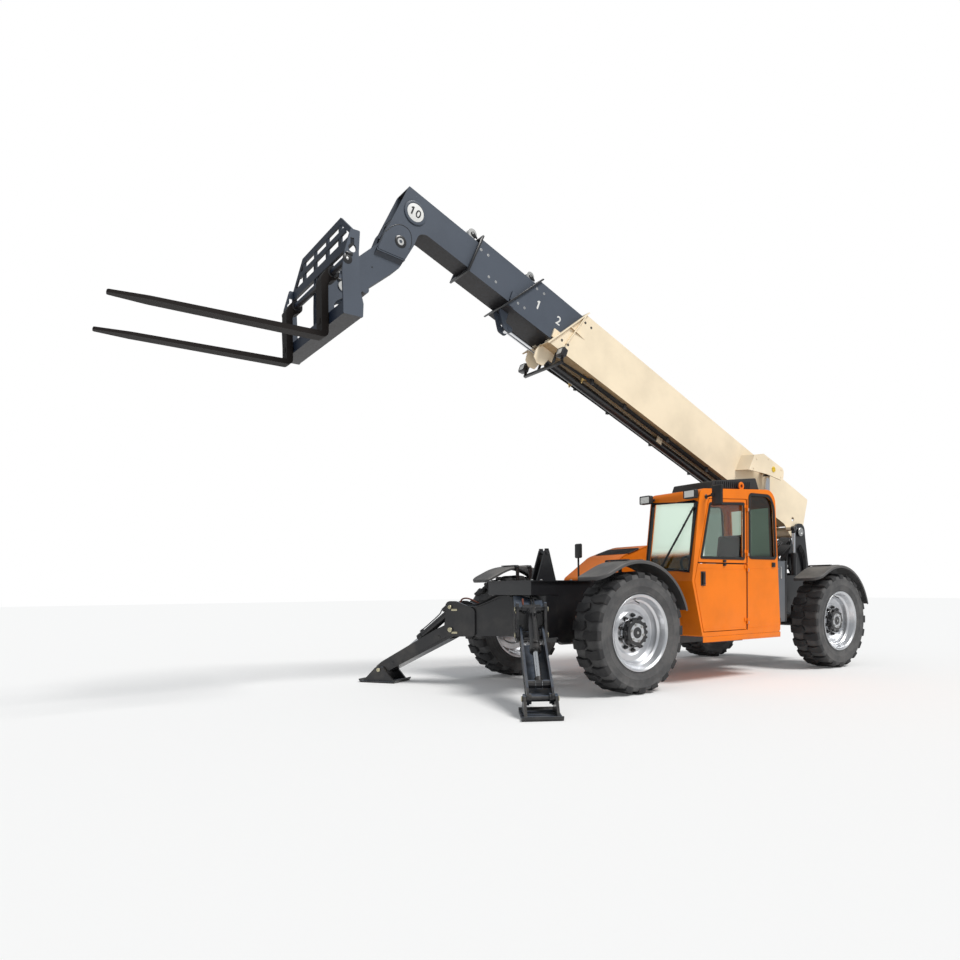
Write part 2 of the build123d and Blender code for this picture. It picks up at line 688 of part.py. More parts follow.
def front_pads(section, inside):
    """Wear pads inside a section's mouth that carry the next section."""
    half, low, high, wall, _, top, bottom = section
    i_half, i_low, i_high = inside[:3]
    x1 = top - 30
    x0 = x1 - PAD_LENGTH
    b1 = bottom - 30
    b0 = b1 - PAD_LENGTH
    pads = []
    for side in (1, -1):
        y0, y1 = sorted((side * (i_half + SEAT_GAP), side * (half - wall)))
        pads.append(block(x0, x1, y0, y1, i_high - 120, i_high - 20))
        pads.append(block(b0, b1, y0, y1, i_low + 20, i_low + 120))
        y0, y1 = sorted((side * (i_half - 90), side * (i_half - 20)))
        pads.append(block(x0, x1, y0, y1, i_high + SEAT_GAP, high - wall))
        pads.append(block(b0, b1, y0, y1, low + wall, i_low - SEAT_GAP))
    return pads


def rear_pads(section, around):
    """Wear pads outside a section's tail that run in the section around it."""
    half, low, high, _, rear = section[:5]
    o_half, o_low, o_high, o_wall = around[:4]
    x0, x1 = rear + 12, rear + 12 + PAD_LENGTH
    pads = []
    for side in (1, -1):
        y0, y1 = sorted((side * half, side * (o_half - o_wall - SEAT_GAP)))
        pads.append(block(x0, x1, y0, y1, high - 120, high - 20))
        pads.append(block(x0, x1, y0, y1, low + 20, low + 120))
        y0, y1 = sorted((side * (half - 90), side * (half - 20)))
        pads.append(block(x0, x1, y0, y1, high, o_high - o_wall - SEAT_GAP))
        pads.append(block(x0, x1, y0, y1, o_low + o_wall + SEAT_GAP, low))
    return pads


def boom_base():
    """Outer boom section with its pivot cheeks, lift-cylinder guards and front gussets."""
    half, low, high, wall, rear, top, bottom = BASE
    tube = box_beam((half, low, high, wall, 240, top, bottom))
    cheek = side_plate([
        (rear, high, 30),
        (900, high, 0),
        (900, low, 0),
        (330, low, 120),
        (130, -112, 60),
        (-112, -112, 100),
        (-118, 150, 20),
    ], half - wall, half)
    cheek = cheek - pin_y(LEVEL_S - 70, 136, 32, half - wall - 1, half + 1)
    back = block(rear + 6, rear + 18, -half + 2, half - 2, 260, high - 4)
    roof = block(rear + 6, 300, -half + 2, half - 2, high - wall, high)
    boss = pin_y(0, 0, 84, -TOWER_INSIDE + 4, TOWER_INSIDE - 4)
    guards = both_sides(side_plate([
        (LIFT_S + 491, LIFT_T - 257, 14),
        (LIFT_S + 454, LIFT_T - 15, 20),
        (LIFT_S + 280, LIFT_T + 95, 40),
        (LIFT_S - 224, LIFT_T + 115, 70),
        (LIFT_S - 259, LIFT_T - 46, 50),
        (LIFT_S + 108, LIFT_T - 128, 120),
    ], GUARD_OUTSIDE - 16, GUARD_OUTSIDE))
    for side in (1, -1):
        face = outline([
            (LIFT_S + 479, side * (GUARD_OUTSIDE - 2), LIFT_T - 257),
            (LIFT_S + 491, side * (GUARD_OUTSIDE - 2), LIFT_T - 257),
            (LIFT_S + 531, side * (half - 2), LIFT_T - 257),
            (LIFT_S + 519, side * (half - 2), LIFT_T - 257),
        ], [0, 0, 0, 0])
        guards.append(extrude(face, amount=245, dir=(-37, 0, 242)))
        y0, y1 = sorted((side * (half - 2), side * (GUARD_OUTSIDE - 2)))
        guards.append(side_plate([
            (LIFT_S + 458, LIFT_T - 15, 0),
            (LIFT_S + 280, LIFT_T + 95, 0),
            (LIFT_S + 190, LIFT_T + 98, 0),
            (LIFT_S + 190, LIFT_T + 86, 0),
            (LIFT_S + 276, LIFT_T + 83, 0),
            (LIFT_S + 450, LIFT_T - 27, 0),
        ], y0, y1))
        y0, y1 = sorted((side * (LIFT_Y + LIFT_EYE_HALF + 2), side * (GUARD_OUTSIDE - 2)))
        guards.append(pin_y(LIFT_S, LIFT_T, 44, y0, y1))
        y0, y1 = sorted((side * (half - 2), side * (LIFT_Y - LIFT_EYE_HALF - SEAT_GAP)))
        guards.append(pin_y(LIFT_S, LIFT_T, 44, y0, y1))
    gussets = []
    slope = (bottom - top) / (high - low)
    for side in (1, -1):
        y0, y1 = sorted((side * (half - 2), side * (half + COLLAR_REACH)))
        front = top + (high - 300) * slope - COLLAR_DEPTH
        gussets.append(level_plate([
            (front, y0, 0),
            (front, y1, 0),
            (front - 260, y0 if side == 1 else y1, 0),
        ], 292, 304))
    ribs = both_sides(side_plate([
        (4648, 565, 0),
        (4784, 89, 0),
        (4772, 89, 0),
        (4636, 565, 0),
    ], half - 1, half + COLLAR_REACH))
    ribs += both_sides(side_plate([
        (4780, low + 4, 0),
        (5000, low + 4, 0),
        (5034, -110, 12),
        (5026, -186, 12),
        (4962, -232, 12),
        (4884, -212, 12),
        (4840, -100, 12),
    ], 70, 82))
    level_lug = bar((LEVEL_S, half - 2, LEVEL_T), (LEVEL_S, LEVEL_Y - LEVEL_EYE_HALF - SEAT_GAP, LEVEL_T), 34)
    holder = []
    for s in (EXTEND_TAIL_S + 10, 2900, EXTEND_GLAND_S - 170):
        for side in (1, -1):
            y0, y1 = sorted((side * (EXTEND_BARREL_RADIUS + SEAT_GAP), side * (EXTEND_BARREL_RADIUS + 14)))
            holder.append(block(s, s + 90, y0, y1, EXTEND_T - 20, low + 4))
    whole = fused(tube, cheek, cheek.mirror(Plane.XZ), back, roof, boss, collar(BASE), gussets,
                  front_pads(BASE, SECTION_2), ribs, level_lug, guards, holder)
    whole = cut(whole, pin_y(0, 0, PIVOT_PIN_RADIUS + SEAT_GAP, -400, 400))
    return BOOM_PLACE * whole


def extend_barrel():
    """Long barrel slung under the outer section."""
    length = EXTEND_GLAND_S - EXTEND_TAIL_S
    shape = barrel(length, EXTEND_BARREL_RADIUS, EXTEND_BORE, EXTEND_ROD_RADIUS,
                   46, 40, 20, (160, length - 120))
    return BOOM_PLACE * Pos(EXTEND_TAIL_S, 0, EXTEND_T) * Rot(180, 0, 0) * shape


def extend_rod():
    """Rod whose eye draws the second section out."""
    length = EXTEND_EYE_S - EXTEND_TAIL_S
    start = length - 3700
    shape = rod(start, length, EXTEND_ROD_RADIUS, EXTEND_BORE, 30, 36)
    return BOOM_PLACE * Pos(EXTEND_TAIL_S, 0, EXTEND_T) * shape


def boom_lights():
    """Cross bar under the outer section's mouth with a work lamp at each end."""
    s = BASE[6] - 190
    beam = block(s - 16, s + 16, -385, 310, EXTEND_T - 106, EXTEND_T - 78)
    hangers = both_sides(block(s - 14, s + 14, 120, 136, EXTEND_T - 80, BASE[1] - SEAT_GAP))
    lamps = []
    for y in (-430, 262):
        lamps.append(block(s + 10, s + 80, y, y + 110, EXTEND_T - 68, EXTEND_T + 32))
    for y in (-385, 280):
        lamps.append(block(s - 16, s + 24, y, y + 30, EXTEND_T - 100, EXTEND_T - 40))
    return BOOM_PLACE * fused(beam, hangers, lamps)


def section_2():
    """Second section: slanted mouth, flanges, rod ears and its tail pads."""
    half, low, high, wall, rear, top, bottom = SECTION_2
    ears = []
    for y0, y1 in ((40, 58), (-58, -40)):
        ears.append(side_plate([
            (EXTEND_EYE_S - 40, EXTEND_T - 40, 36),
            (EXTEND_EYE_S + 60, EXTEND_T - 40, 44),
            (bottom - 12, low - 24, 0),
            (bottom - 12, low + 6, 0),
            (EXTEND_EYE_S + 66, low + 6, 0),
            (EXTEND_EYE_S + 62, EXTEND_T + 34, 20),
            (EXTEND_EYE_S - 40, EXTEND_T + 32, 30),
        ], y0, y1))
    caps = both_sides(pin_y(EXTEND_EYE_S, EXTEND_T, 18, 57, 63))
    gussets = both_sides(side_plate([(5472, 206, 0), (5582, 60, 0), (5498, 60, 0)], half - 1, half + 8))
    whole = fused(box_beam(SECTION_2), collar(SECTION_2), front_pads(SECTION_2, SECTION_3),
                  rear_pads(SECTION_2, BASE), ears, caps, gussets)
    return BOOM_PLACE * whole


def section_3():
    """Third section with an upright mouth and its tail pads."""
    whole = fused(box_beam(SECTION_3), collar(SECTION_3), front_pads(SECTION_3, SECTION_4),
                  rear_pads(SECTION_3, SECTION_2))
    return BOOM_PLACE * whole


def section_4():
    """Inner section with the boom head and its narrow nose."""
    half, low, high, wall = SECTION_4[:4]
    head = side_plate([
        (6300, high, 0),
        (6901, high, 20),
        (6958, -292, 30),
        (6685, -216, 20),
        (6656, -30, 60),
        (6652, low, 95),
        (6300, low, 0),
    ], half - 12, half)
    doubler = both_sides(side_plate([
        (6948, -284, 10),
        (6948, 82, 150),
        (6676, 82, 110),
        (6690, -212, 10),
    ], half - 1, half + 4))
    disc = both_sides(pin_y(6758, 269, 116, half - 2, half + 8))
    nose = side_plate([
        (6700, -120, 0),
        (6930, -160, 0),
        (7071, -458, 60),
        (CARRIAGE_S + 78, CARRIAGE_T + 10, 70),
        (CARRIAGE_S + 70, CARRIAGE_T - 80, 76),
        (CARRIAGE_S - 60, CARRIAGE_T - 78, 70),
        (6930, -740, 120),
        (6697, -300, 40),
        (6680, -200, 0),
    ], NOSE_HALF - NOSE_WALL, NOSE_HALF)
    step = []
    for side in (1, -1):
        y0, y1 = sorted((side * (NOSE_HALF - 4), side * half))
        step.append(side_plate([(6684, -225, 0), (6952, -300, 0), (6956, -284, 0), (6682, -209, 0)], y0, y1))
    lower_web = side_plate([
        (6672, -23, 0),
        (6684, -24, 0),
        (6698, -222, 0),
        (6712, -296, 0),
        (6945, -734, 120),
        (7010, -822, 0),
        (7002, -832, 0),
        (6932, -740, 120),
        (6697, -300, 0),
        (6685, -216, 0),
    ], -NOSE_HALF + 2, NOSE_HALF - 2)
    brace = side_plate([
        (6700, 250, 0),
        (6915, 120, 0),
        (6915, 132, 0),
        (6706, 262, 0),
    ], -half + 2, half - 2)
    cap = block(6650, 6898, -half, half, high - 10, high)
    chamfers = []
    for side in (1, -1):
        corner_face = outline([
            (6954, side * half, -289),
            (6954, side * (NOSE_HALF - 2), -289),
            (6954, side * (NOSE_HALF - 2), -345),
        ], [0, 0, 0])
        chamfers.append(extrude(corner_face, amount=span((6954, -289), (6690, -213)), dir=(-264, 0, 76)))
    front = side_plate([
        (6941, -90, 0),
        (6929, 70, 0),
        (6917, 70, 0),
        (6929, -90, 0),
    ], 2 - half, half - 2)
    front = cut(front, block(6900, 6960, -35, 35, -91, 40))
    strips = both_sides(side_plate([
        (6956, -288, 0),
        (6941, -90, 0),
        (6929, -90, 0),
        (6944, -288, 0),
    ], 60, half - 2))
    lug = pin_y(6906, -690, 36, -NOSE_HALF, NOSE_HALF)
    pins = [pin_y(TILT_S, TILT_T, 25, -half - 6, half + 6)]
    bosses = both_sides(pin_y(TILT_S, TILT_T, 52, 60, half - 2))
    end = both_sides(pin_y(CARRIAGE_S, CARRIAGE_T, 56, NOSE_HALF - NOSE_WALL - 20, NOSE_HALF))
    whole = fused(box_beam(SECTION_4), rear_pads(SECTION_4, SECTION_3), head, head.mirror(Plane.XZ), nose,
                  nose.mirror(Plane.XZ), step, lower_web, brace, cap, bosses, end, doubler, disc, chamfers,
                  front, strips, lug)
    whole = cut(whole, pin_y(CARRIAGE_S, CARRIAGE_T, CARRIAGE_PIN_RADIUS + SEAT_GAP, -400, 400))
    return BOOM_PLACE * fused(whole, pins)


# ---------------------------------------------------------------- cylinders of the boom
def lift_cylinders():
    """Pair of lift cylinders beside the boom: their barrels and their rods."""
    foot = (LIFT_FOOT_X, LIFT_FOOT_Z)
    top = boom_point(LIFT_S, LIFT_T)
    reach = span(foot, top)
    place = aim(foot, top)
    shell = barrel(1330, LIFT_BARREL_RADIUS, LIFT_BARREL_RADIUS - 10, LIFT_ROD_RADIUS,
                   62, 56, 40 + SEAT_GAP, (130, 1250))
    piston = rod(reach - 1460, reach, LIFT_ROD_RADIUS, LIFT_BARREL_RADIUS - 10, 52, LIFT_EYE_HALF)
    barrels = [place * Pos(0, y, 0) * shell for y in (LIFT_Y, -LIFT_Y)]
    rods = [place * Pos(0, y, 0) * piston for y in (LIFT_Y, -LIFT_Y)]
    return barrels, rods


def level_cylinder():
    """Levelling cylinder beside the tower: its barrel and its rod."""
    foot = (LEVEL_FOOT_X, LEVEL_FOOT_Z)
    top = boom_point(LEVEL_S, LEVEL_T)
    reach = span(foot, top)
    place = aim(foot, top) * Pos(0, LEVEL_Y, 0)
    shell = barrel(620, LEVEL_BARREL_RADIUS, LEVEL_BARREL_RADIUS - 8, LEVEL_ROD_RADIUS,
                   38, 30, 22 + SEAT_GAP, (100, 540))
    piston = rod(reach - 730, reach, LEVEL_ROD_RADIUS, LEVEL_BARREL_RADIUS - 8, 34, LEVEL_EYE_HALF)
    return place * shell, place * piston


def tilt_cylinder():
    """Cylinder in the boom head that tilts the carriage: its barrel and its rod."""
    foot = boom_point(TILT_S, TILT_T)
    top = (TILT_EAR_X, TILT_EAR_Z)
    reach = span(foot, top)
    place = aim(foot, top)
    shell = barrel(480, TILT_BARREL_RADIUS, TILT_BARREL_RADIUS - 8, TILT_ROD_RADIUS,
                   44, 56, 25 + SEAT_GAP, ())
    piston = rod(reach - 560, reach, TILT_ROD_RADIUS, TILT_BARREL_RADIUS - 8, 36, 30)
    return place * shell, place * piston


# ---------------------------------------------------------------- carriage
def fork_carriage():
    """Carriage: keyholed side plates, beams, backrest, fork shaft and the tilt ears."""
    outer = CARRIAGE_HALF
    inner = CARRIAGE_HALF - CARRIAGE_WALL
    side = side_plate([
        (CARRIAGE_X + 186, 3992, 10),
        (CARRIAGE_X + 108, 3992, 10),
        (CARRIAGE_X + 120, 3820, 80),
        (CARRIAGE_X + 112, 3520, 120),
        (CARRIAGE_X + 84, 3410, 60),
        (CARRIAGE_X + 90, CARRIAGE_LOW, 10),
        (CARRIAGE_X + 256, CARRIAGE_LOW, 10),
        (CARRIAGE_X + 256, 3430, 60),
        (CARRIAGE_X + 262, 3640, 120),
        (CARRIAGE_X + 240, 3800, 60),
    ], inner, outer)
    side = cut(side, pin_y(CARRIAGE_X + 175, 3838, 34, inner - 1, outer + 1),
               block(CARRIAGE_X + 159, CARRIAGE_X + 191, inner - 1, outer + 1, 3838, 3920))
    top_bar = block(CARRIAGE_X + 136, CARRIAGE_X + 152, -CARRIAGE_TOP_HALF, CARRIAGE_TOP_HALF, 4150, 4208)
    second = block(CARRIAGE_X + 136, CARRIAGE_X + 152, -560, 560, 4052, 4100)
    cross = block(CARRIAGE_X + 130, CARRIAGE_X + 156, -inner - 2, inner + 2, 3905, 3985)
    lower = block(CARRIAGE_X + 100, CARRIAGE_X + 256, -inner - 2, inner + 2, CARRIAGE_LOW, CARRIAGE_LOW + 100)
    lower_back = block(CARRIAGE_X + 100, CARRIAGE_X + 124, -inner - 2, inner + 2, CARRIAGE_LOW + 90, CARRIAGE_LOW + 200)
    rakes = []
    for mirror in (1, -1):
        rakes.append(cross_plate([
            (mirror * (inner - 30), 3960, 0),
            (mirror * (inner + 6), 3985, 0),
            (mirror * CARRIAGE_TOP_HALF, 4208, 0),
            (mirror * (CARRIAGE_TOP_HALF - 40), 4180, 0),
        ], CARRIAGE_X + 136, CARRIAGE_X + 152))
    posts = []
    for y in (-CARRIAGE_TOP_HALF + 30, -150, 150, CARRIAGE_TOP_HALF - 30):
        posts.append(block(CARRIAGE_X + 132, CARRIAGE_X + 150, y - 24, y + 24, 3980, 4160))
    ribs = []
    for y in (-180, 164):
        ribs.append(side_plate([
            (CARRIAGE_X + 100, CARRIAGE_LOW + 40, 0),
            (CARRIAGE_X + 160, CARRIAGE_LOW + 40, 0),
            (CARRIAGE_X + 160, 3640, 40),
            (CARRIAGE_X + 150, 3985, 0),
            (CARRIAGE_X + 105, 3985, 40),
        ], y, y + 16))
    shaft = pin_y(SHAFT_X, SHAFT_Z, SHAFT_RADIUS, -inner - 4, inner + 4)
    plates = []
    for mirror in (1, -1):
        y0, y1 = sorted((mirror * (NOSE_HALF + 6), mirror * (NOSE_HALF + 30)))
        plates.append(side_plate([
            (CARRIAGE_X - 62, CARRIAGE_Z - 60, 60),
            (CARRIAGE_X - 62, CARRIAGE_Z + 60, 60),
            (CARRIAGE_X + 60, 3905, 60),
            (CARRIAGE_X + 120, 3990, 0),
            (CARRIAGE_X + 150, 3990, 0),
            (CARRIAGE_X + 160, CARRIAGE_LOW + 120, 0),
            (CARRIAGE_X + 105, CARRIAGE_LOW + 120, 40),
            (CARRIAGE_X + 80, 3640, 120),
        ], y0, y1))
        y0, y1 = sorted((mirror * (TILT_EYE_HALF + 4), mirror * (TILT_EYE_HALF + 24)))
        plates.append(side_plate([
            (TILT_EAR_X - 40, TILT_EAR_Z - 44, 36),
            (TILT_EAR_X - 40, TILT_EAR_Z + 42, 36),
            (CARRIAGE_X + 140, 3985, 0),
            (CARRIAGE_X + 140, 3870, 0),
            (CARRIAGE_X + 84, CARRIAGE_Z + 40, 0),
        ], y0, y1))
        y0, y1 = sorted((mirror * (TILT_EYE_HALF + 20), mirror * (NOSE_HALF + 10)))
        plates.append(block(CARRIAGE_X + 112, CARRIAGE_X + 136, y0, y1, 3860, 3985))
    pin = pin_y(CARRIAGE_X, CARRIAGE_Z, CARRIAGE_PIN_RADIUS, -NOSE_HALF - 34, NOSE_HALF + 34)
    return fused(side, side.mirror(Plane.XZ), top_bar, second, cross, lower, lower_back, rakes, posts,
                 ribs, shaft, plates, pin)


def fork():
    """Fork in the middle plane: eye round the shaft, shank and tapered blade."""
    back = FORK_BACK
    front = FORK_BACK + FORK_THICKNESS
    half = FORK_WIDTH / 2
    shape = side_plate([
        (SHAFT_X - 50, SHAFT_Z - 46, 48),
        (SHAFT_X - 50, SHAFT_Z + 50, 48),
        (SHAFT_X + 30, SHAFT_Z + 50, 48),
        (front, SHAFT_Z - 60, 90),
        (front, FORK_HEEL_Z + FORK_HEEL, 12),
        (FORK_TIP_X, FORK_HEEL_Z + FORK_TIP, 8),
        (FORK_TIP_X, FORK_HEEL_Z, 4),
        (back, FORK_HEEL_Z, 50),
        (back, SHAFT_Z - 90, 60),
    ], -half, half)
    plan = level_plate([
        (SHAFT_X - 100, -half, 0),
        (FORK_TIP_X - 260, -half, 200),
        (FORK_TIP_X, -half + 34, 20),
        (FORK_TIP_X, half - 34, 20),
        (FORK_TIP_X - 260, half, 200),
        (SHAFT_X - 100, half, 0),
    ], FORK_HEEL_Z - 1, SHAFT_Z + 100)
    return cut(shape & plan, pin_y(SHAFT_X, SHAFT_Z, SHAFT_RADIUS + SEAT_GAP, -half - 1, half + 1))


# ---------------------------------------------------------------- cab
CAB_ROWS = [
    (-993, 534, 30),
    (-824, 1149, 12),
    (-962, 2160, 90),
    (-2330, 2250, 170),
    (-2442, 534, 40),
]


def cab_profile(inset):
    """Cab's side outline, moved in by a distance, as a face at y = 0."""
    face = outline([(x, 0, z) for x, z, _ in CAB_ROWS], [r for _, _, r in CAB_ROWS])
    if inset == 0:
        return face
    return offset(face, amount=-inset, kind=Kind.INTERSECTION).faces()[0]


def cab_slab(inset, y0, y1):
    """Cab's side outline filled between two planes across Y."""
    return Pos(0, y0, 0) * extrude(cab_profile(inset), amount=y1 - y0, dir=(0, 1, 0))


def door_rows(low, high, gap):
    """Outline of the doorway between two heights, made smaller by a gap."""
    rows = [(front_of_door(low) - gap, low + gap, 12)]
    if low < KINK_Z < high:
        rows.append((front_of_door(KINK_Z) - gap, KINK_Z, 12))
    rows.append((front_of_door(high) - gap, high - gap, 20))
    rows.append((DOOR_REAR + gap, high - gap + (40 if high > WAIST_Z + 10 else 0), 20))
    rows.append((DOOR_REAR + gap, low + gap, 12))
    return rows


def front_of_door(z):
    """X of the doorway's front edge at a height."""
    if z < KINK_Z:
        return DOOR_KINK_X - (KINK_Z - z) * 0.254
    return DOOR_KINK_X - (z - KINK_Z) * 0.261


def wall_front(z):
    """X of the cab's inner front face at a height."""
    (x0, z0, _), (x1, z1, _), (x2, z2, _) = CAB_ROWS[:3]
    if z < z1:
        x = x0 + (z - z0) * (x1 - x0) / (z1 - z0)
    else:
        x = x1 + (z - z1) * (x2 - x1) / (z2 - z1)
    return x - 1.05 * CAB_WALL


WINDOWS = {
    "windshield": (-1180, -800, 505, 1092, 1262, 2040),
    "rear": (-2500, -2250, 520, 1080, 1330, 2040),
}


def pane_rows(gap):
    """Rear quarter window's outline on the left wall."""
    return [
        (-1838 - gap, 1432 + gap, 20),
        (-1838 - gap, 2150 - gap, 20),
        (-2292 + gap, 2160 - gap, 150),
        (-2336 + gap, 1432 + gap, 20),
    ]


def inner_rows(gap):
    """Inner side window's outline on the boom's side."""
    return [
        (-1010 - gap, 1300 + gap, 40),
        (-1080 - gap, 2050 - gap, 60),
        (-2240 + gap, 2100 - gap, 100),
        (-2290 + gap, 1300 + gap, 40),
    ]


def cab_shell():
    """Hollow cab with its doorway and windows cut, floor, sills and hinge halves."""
    outer = cab_slab(0, CAB_INSIDE, CAB_OUTSIDE)
    inner = cab_slab(CAB_WALL, CAB_INSIDE + CAB_WALL, CAB_OUTSIDE - CAB_WALL)
    holes = []
    for x0, x1, y0, y1, z0, z1 in WINDOWS.values():
        holes.append(block(x0, x1, y0, y1, z0, z1))
    holes.append(side_plate(door_rows(DOOR_LOW, DOOR_HIGH, 0), CAB_OUTSIDE - CAB_WALL - 1, CAB_OUTSIDE + 1))
    holes.append(side_plate(pane_rows(0), CAB_OUTSIDE - CAB_WALL - 1, CAB_OUTSIDE + 1))
    holes.append(side_plate(inner_rows(0), CAB_INSIDE - 1, CAB_INSIDE + CAB_WALL + 1))
    hinges = []
    for z in HINGE_HEIGHTS:
        hinges.append(bar((DOOR_REAR, HINGE_Y, z), (DOOR_REAR, HINGE_Y, z + 34), 11))
        hinges.append(block(DOOR_REAR - 40, DOOR_REAR, CAB_OUTSIDE - 2, CAB_OUTSIDE + 8, z, z + 34))
    return fused(cut(outer, inner, holes), hinges)


def cab_glass():
    """Windshield, rear, quarter and inner side panes, each in its own opening."""
    band = cab_slab(16, CAB_INSIDE + 1, CAB_OUTSIDE - 1) - cab_slab(22, CAB_INSIDE, CAB_OUTSIDE)
    panes = []
    for x0, x1, y0, y1, z0, z1 in WINDOWS.values():
        gap = SEAT_GAP
        panes.append(band & block(x0, x1, y0 + gap, y1 - gap, z0 + gap, z1 - gap))
    panes.append(side_plate(pane_rows(SEAT_GAP), CAB_OUTSIDE - 22, CAB_OUTSIDE - 16))
    panes.append(side_plate(inner_rows(SEAT_GAP), CAB_INSIDE + 16, CAB_INSIDE + 22))
    return panes


def half_door(low, high, window):
    """Door leaf as thick as the wall, with its hinge halves and any window opening."""
    y0 = CAB_OUTSIDE - CAB_WALL
    leaf = side_plate(door_rows(low, high, DOOR_GAP), y0, CAB_OUTSIDE)
    if window:
        leaf = leaf - side_plate(door_rows(low + 20, high - 20, 44), y0 - 1, CAB_OUTSIDE + 1)
    parts = [leaf]
    for z in HINGE_HEIGHTS:
        if low < z < high:
            parts.append(bar((DOOR_REAR, HINGE_Y, z + 35), (DOOR_REAR, HINGE_Y, z + 70), 11))
            parts.append(block(DOOR_REAR, DOOR_REAR + 46, CAB_OUTSIDE - 2, CAB_OUTSIDE + 8, z + 35, z + 70))
    if not window:
        parts.append(block(-1020, -990, CAB_OUTSIDE - 2, CAB_OUTSIDE + 24, 1110, 1240))
    return fused(*parts)


def door_glass():
    """Pane of the upper door."""
    rows = door_rows(WAIST_Z + 20, DOOR_HIGH - 20, 44.8)
    return side_plate(rows, CAB_OUTSIDE - 28, CAB_OUTSIDE - 22)


def cab_seat():
    """Seat cushion and backrest."""
    cushion = fillet(block(-1880, -1430, 610, 1050, 1020, 1130).edges(), 40)
    back = side_plate([
        (-1892.4, 1140, 40),
        (-1800, 1140, 40),
        (-1893, 1720, 50),
        (-1984.3, 1720, 40),
    ], 620, 1040)
    return [cushion, back]


def seat_base():
    """Suspension base and seat pan."""
    base = block(-1840, -1500, 660, 1000, CAB_FLOOR + SEAT_GAP, 940)
    pan = side_plate([
        (-1440, 940, 10),
        (-1440, 1019.7, 10),
        (-1892, 1019.7, 0),
        (-1892, 1135, 0),
        (-1972, 1640, 10),
        (-2000, 1640, 10),
        (-1920, 1000, 60),
        (-1880, 940, 20),
    ], 640, 1020)
    return fused(base, pan)


def cab_console():
    """Dash, side console, steering column and wheel."""
    dash = side_plate([
        (wall_front(1000) - 16, 1000, 0),
        (wall_front(1180) - 14, 1180, 20),
        (-1090, 1230, 40),
        (-1120, 1120, 30),
        (wall_front(820) - DASH_FOOT, 820, 60),
        (wall_front(820) - 5, 820, 0),
    ], 520, 1060)
    side = level_plate([
        (-1330, CAB_INSIDE + CAB_WALL + 5, 20),
        (-1330, CAB_INSIDE + CAB_WALL + 115, 20),
        (-2050, CAB_INSIDE + CAB_WALL + 115, 20),
        (-2050, CAB_INSIDE + CAB_WALL + 5, 20),
    ], CAB_FLOOR + SEAT_GAP, 1160)
    pedestal = block(-1120, -1040, 700, 900, CAB_FLOOR + SEAT_GAP, 1100)
    column = bar((-1080, 800, 1100), (-1300, 800, 1300), 34)
    axis = Vector(-220, 0, 200)
    wheel = Plane(origin=(-1300, 800, 1300), z_dir=axis).location * (
        Torus(185, 15) + Pos(0, 0, -10) * Cylinder(60, 34) + Pos(0, 0, -6) * Box(360, 26, 12)
        + Pos(0, -90, -6) * Box(26, 180, 12)
    )
    return [fused(dash, pedestal, column, wheel), side]


def roof_vent():
    """Black louvred housing on the cab roof."""
    slope = (2250 - 2160) / (2330 - 962)
    def roof(x):
        return 2160 + (-962 - x) * slope + SEAT_GAP
    shape = side_plate([
        (-1250, roof(-1250), 0),
        (-1300, roof(-1300) + 62, 20),
        (-2090, roof(-2090) + 92, 20),
        (-2160, roof(-2160), 0),
    ], 470, 1070)
    slots = []
    for number in range(13):
        x = -1330 - number * 38
        slots.append(block(x - 20, x, 1040, 1071, roof(x) + 22, roof(x) + 62))
    return cut(shape, slots)


def hood_rows(inset, low):
    """Side outline of the engine housing's upper part, moved in by a distance."""
    return [
        (POD_FRONT - inset, low, 0),
        (POD_FRONT - 14 - inset, 1215 - inset, 60),
        (-1330, 1500 - inset, 260),
        (-1800, 1652 - inset, 500),
        (-2820 + inset, HOOD_TOP - inset, 120),
        (POD_REAR + inset, low, 0),
    ]


def engine_pod():
    """Open-topped housing that carries the engine, with its fixed wall beside the boom."""
    wall = POD_WALL
    outer = side_plate([
        (POD_FRONT - 90, POD_BOTTOM, 60),
        (POD_FRONT, 820, 60),
        (POD_FRONT, HOOD_SEAM_Z, 0),
        (POD_REAR, HOOD_SEAM_Z, 0),
        (POD_REAR, POD_BOTTOM, 60),
    ], HOOD_OUTSIDE, HOOD_INSIDE)
    inner = side_plate([
        (POD_FRONT - 90 - wall, POD_BOTTOM + wall, 50),
        (POD_FRONT - wall, 820, 50),
        (POD_FRONT - wall, HOOD_SEAM_Z + 1, 0),
        (POD_REAR + wall, HOOD_SEAM_Z + 1, 0),
        (POD_REAR + wall, POD_BOTTOM + wall, 50),
    ], HOOD_OUTSIDE + wall, HOOD_INSIDE - wall)
    side = side_plate(hood_rows(HOOD_SKIN + RUN_GAP, HOOD_SEAM_Z - 10), HOOD_INSIDE - wall, HOOD_INSIDE)
    hinges = []
    for x in HOOD_HINGES:
        hinges.append(bar((x, HOOD_HINGE_Y, HOOD_HINGE_Z), (x + 30, HOOD_HINGE_Y, HOOD_HINGE_Z), 8))
        hinges.append(block(x, x + 30, HOOD_INSIDE - 2, HOOD_HINGE_Y, HOOD_HINGE_Z - 30, HOOD_HINGE_Z - 4))
    return fused(outer - inner, side, hinges)


def hood_solid(inset):
    """Hood's outer form moved in by a distance."""
    length = side_plate(hood_rows(inset, HOOD_SEAM_Z + RUN_GAP - 2 * inset), HOOD_OUTSIDE + inset,
                        HOOD_INSIDE - inset)
    across = cross_plate([
        (HOOD_OUTSIDE + inset, HOOD_SEAM_Z - 100, 0),
        (HOOD_OUTSIDE + 50 + inset, HOOD_TOP + 26, 150),
        (HOOD_INSIDE - inset, HOOD_TOP + 26, 0),
        (HOOD_INSIDE - inset, HOOD_SEAM_Z - 100, 0),
    ], POD_REAR - 10, POD_FRONT + 10)
    return length & across


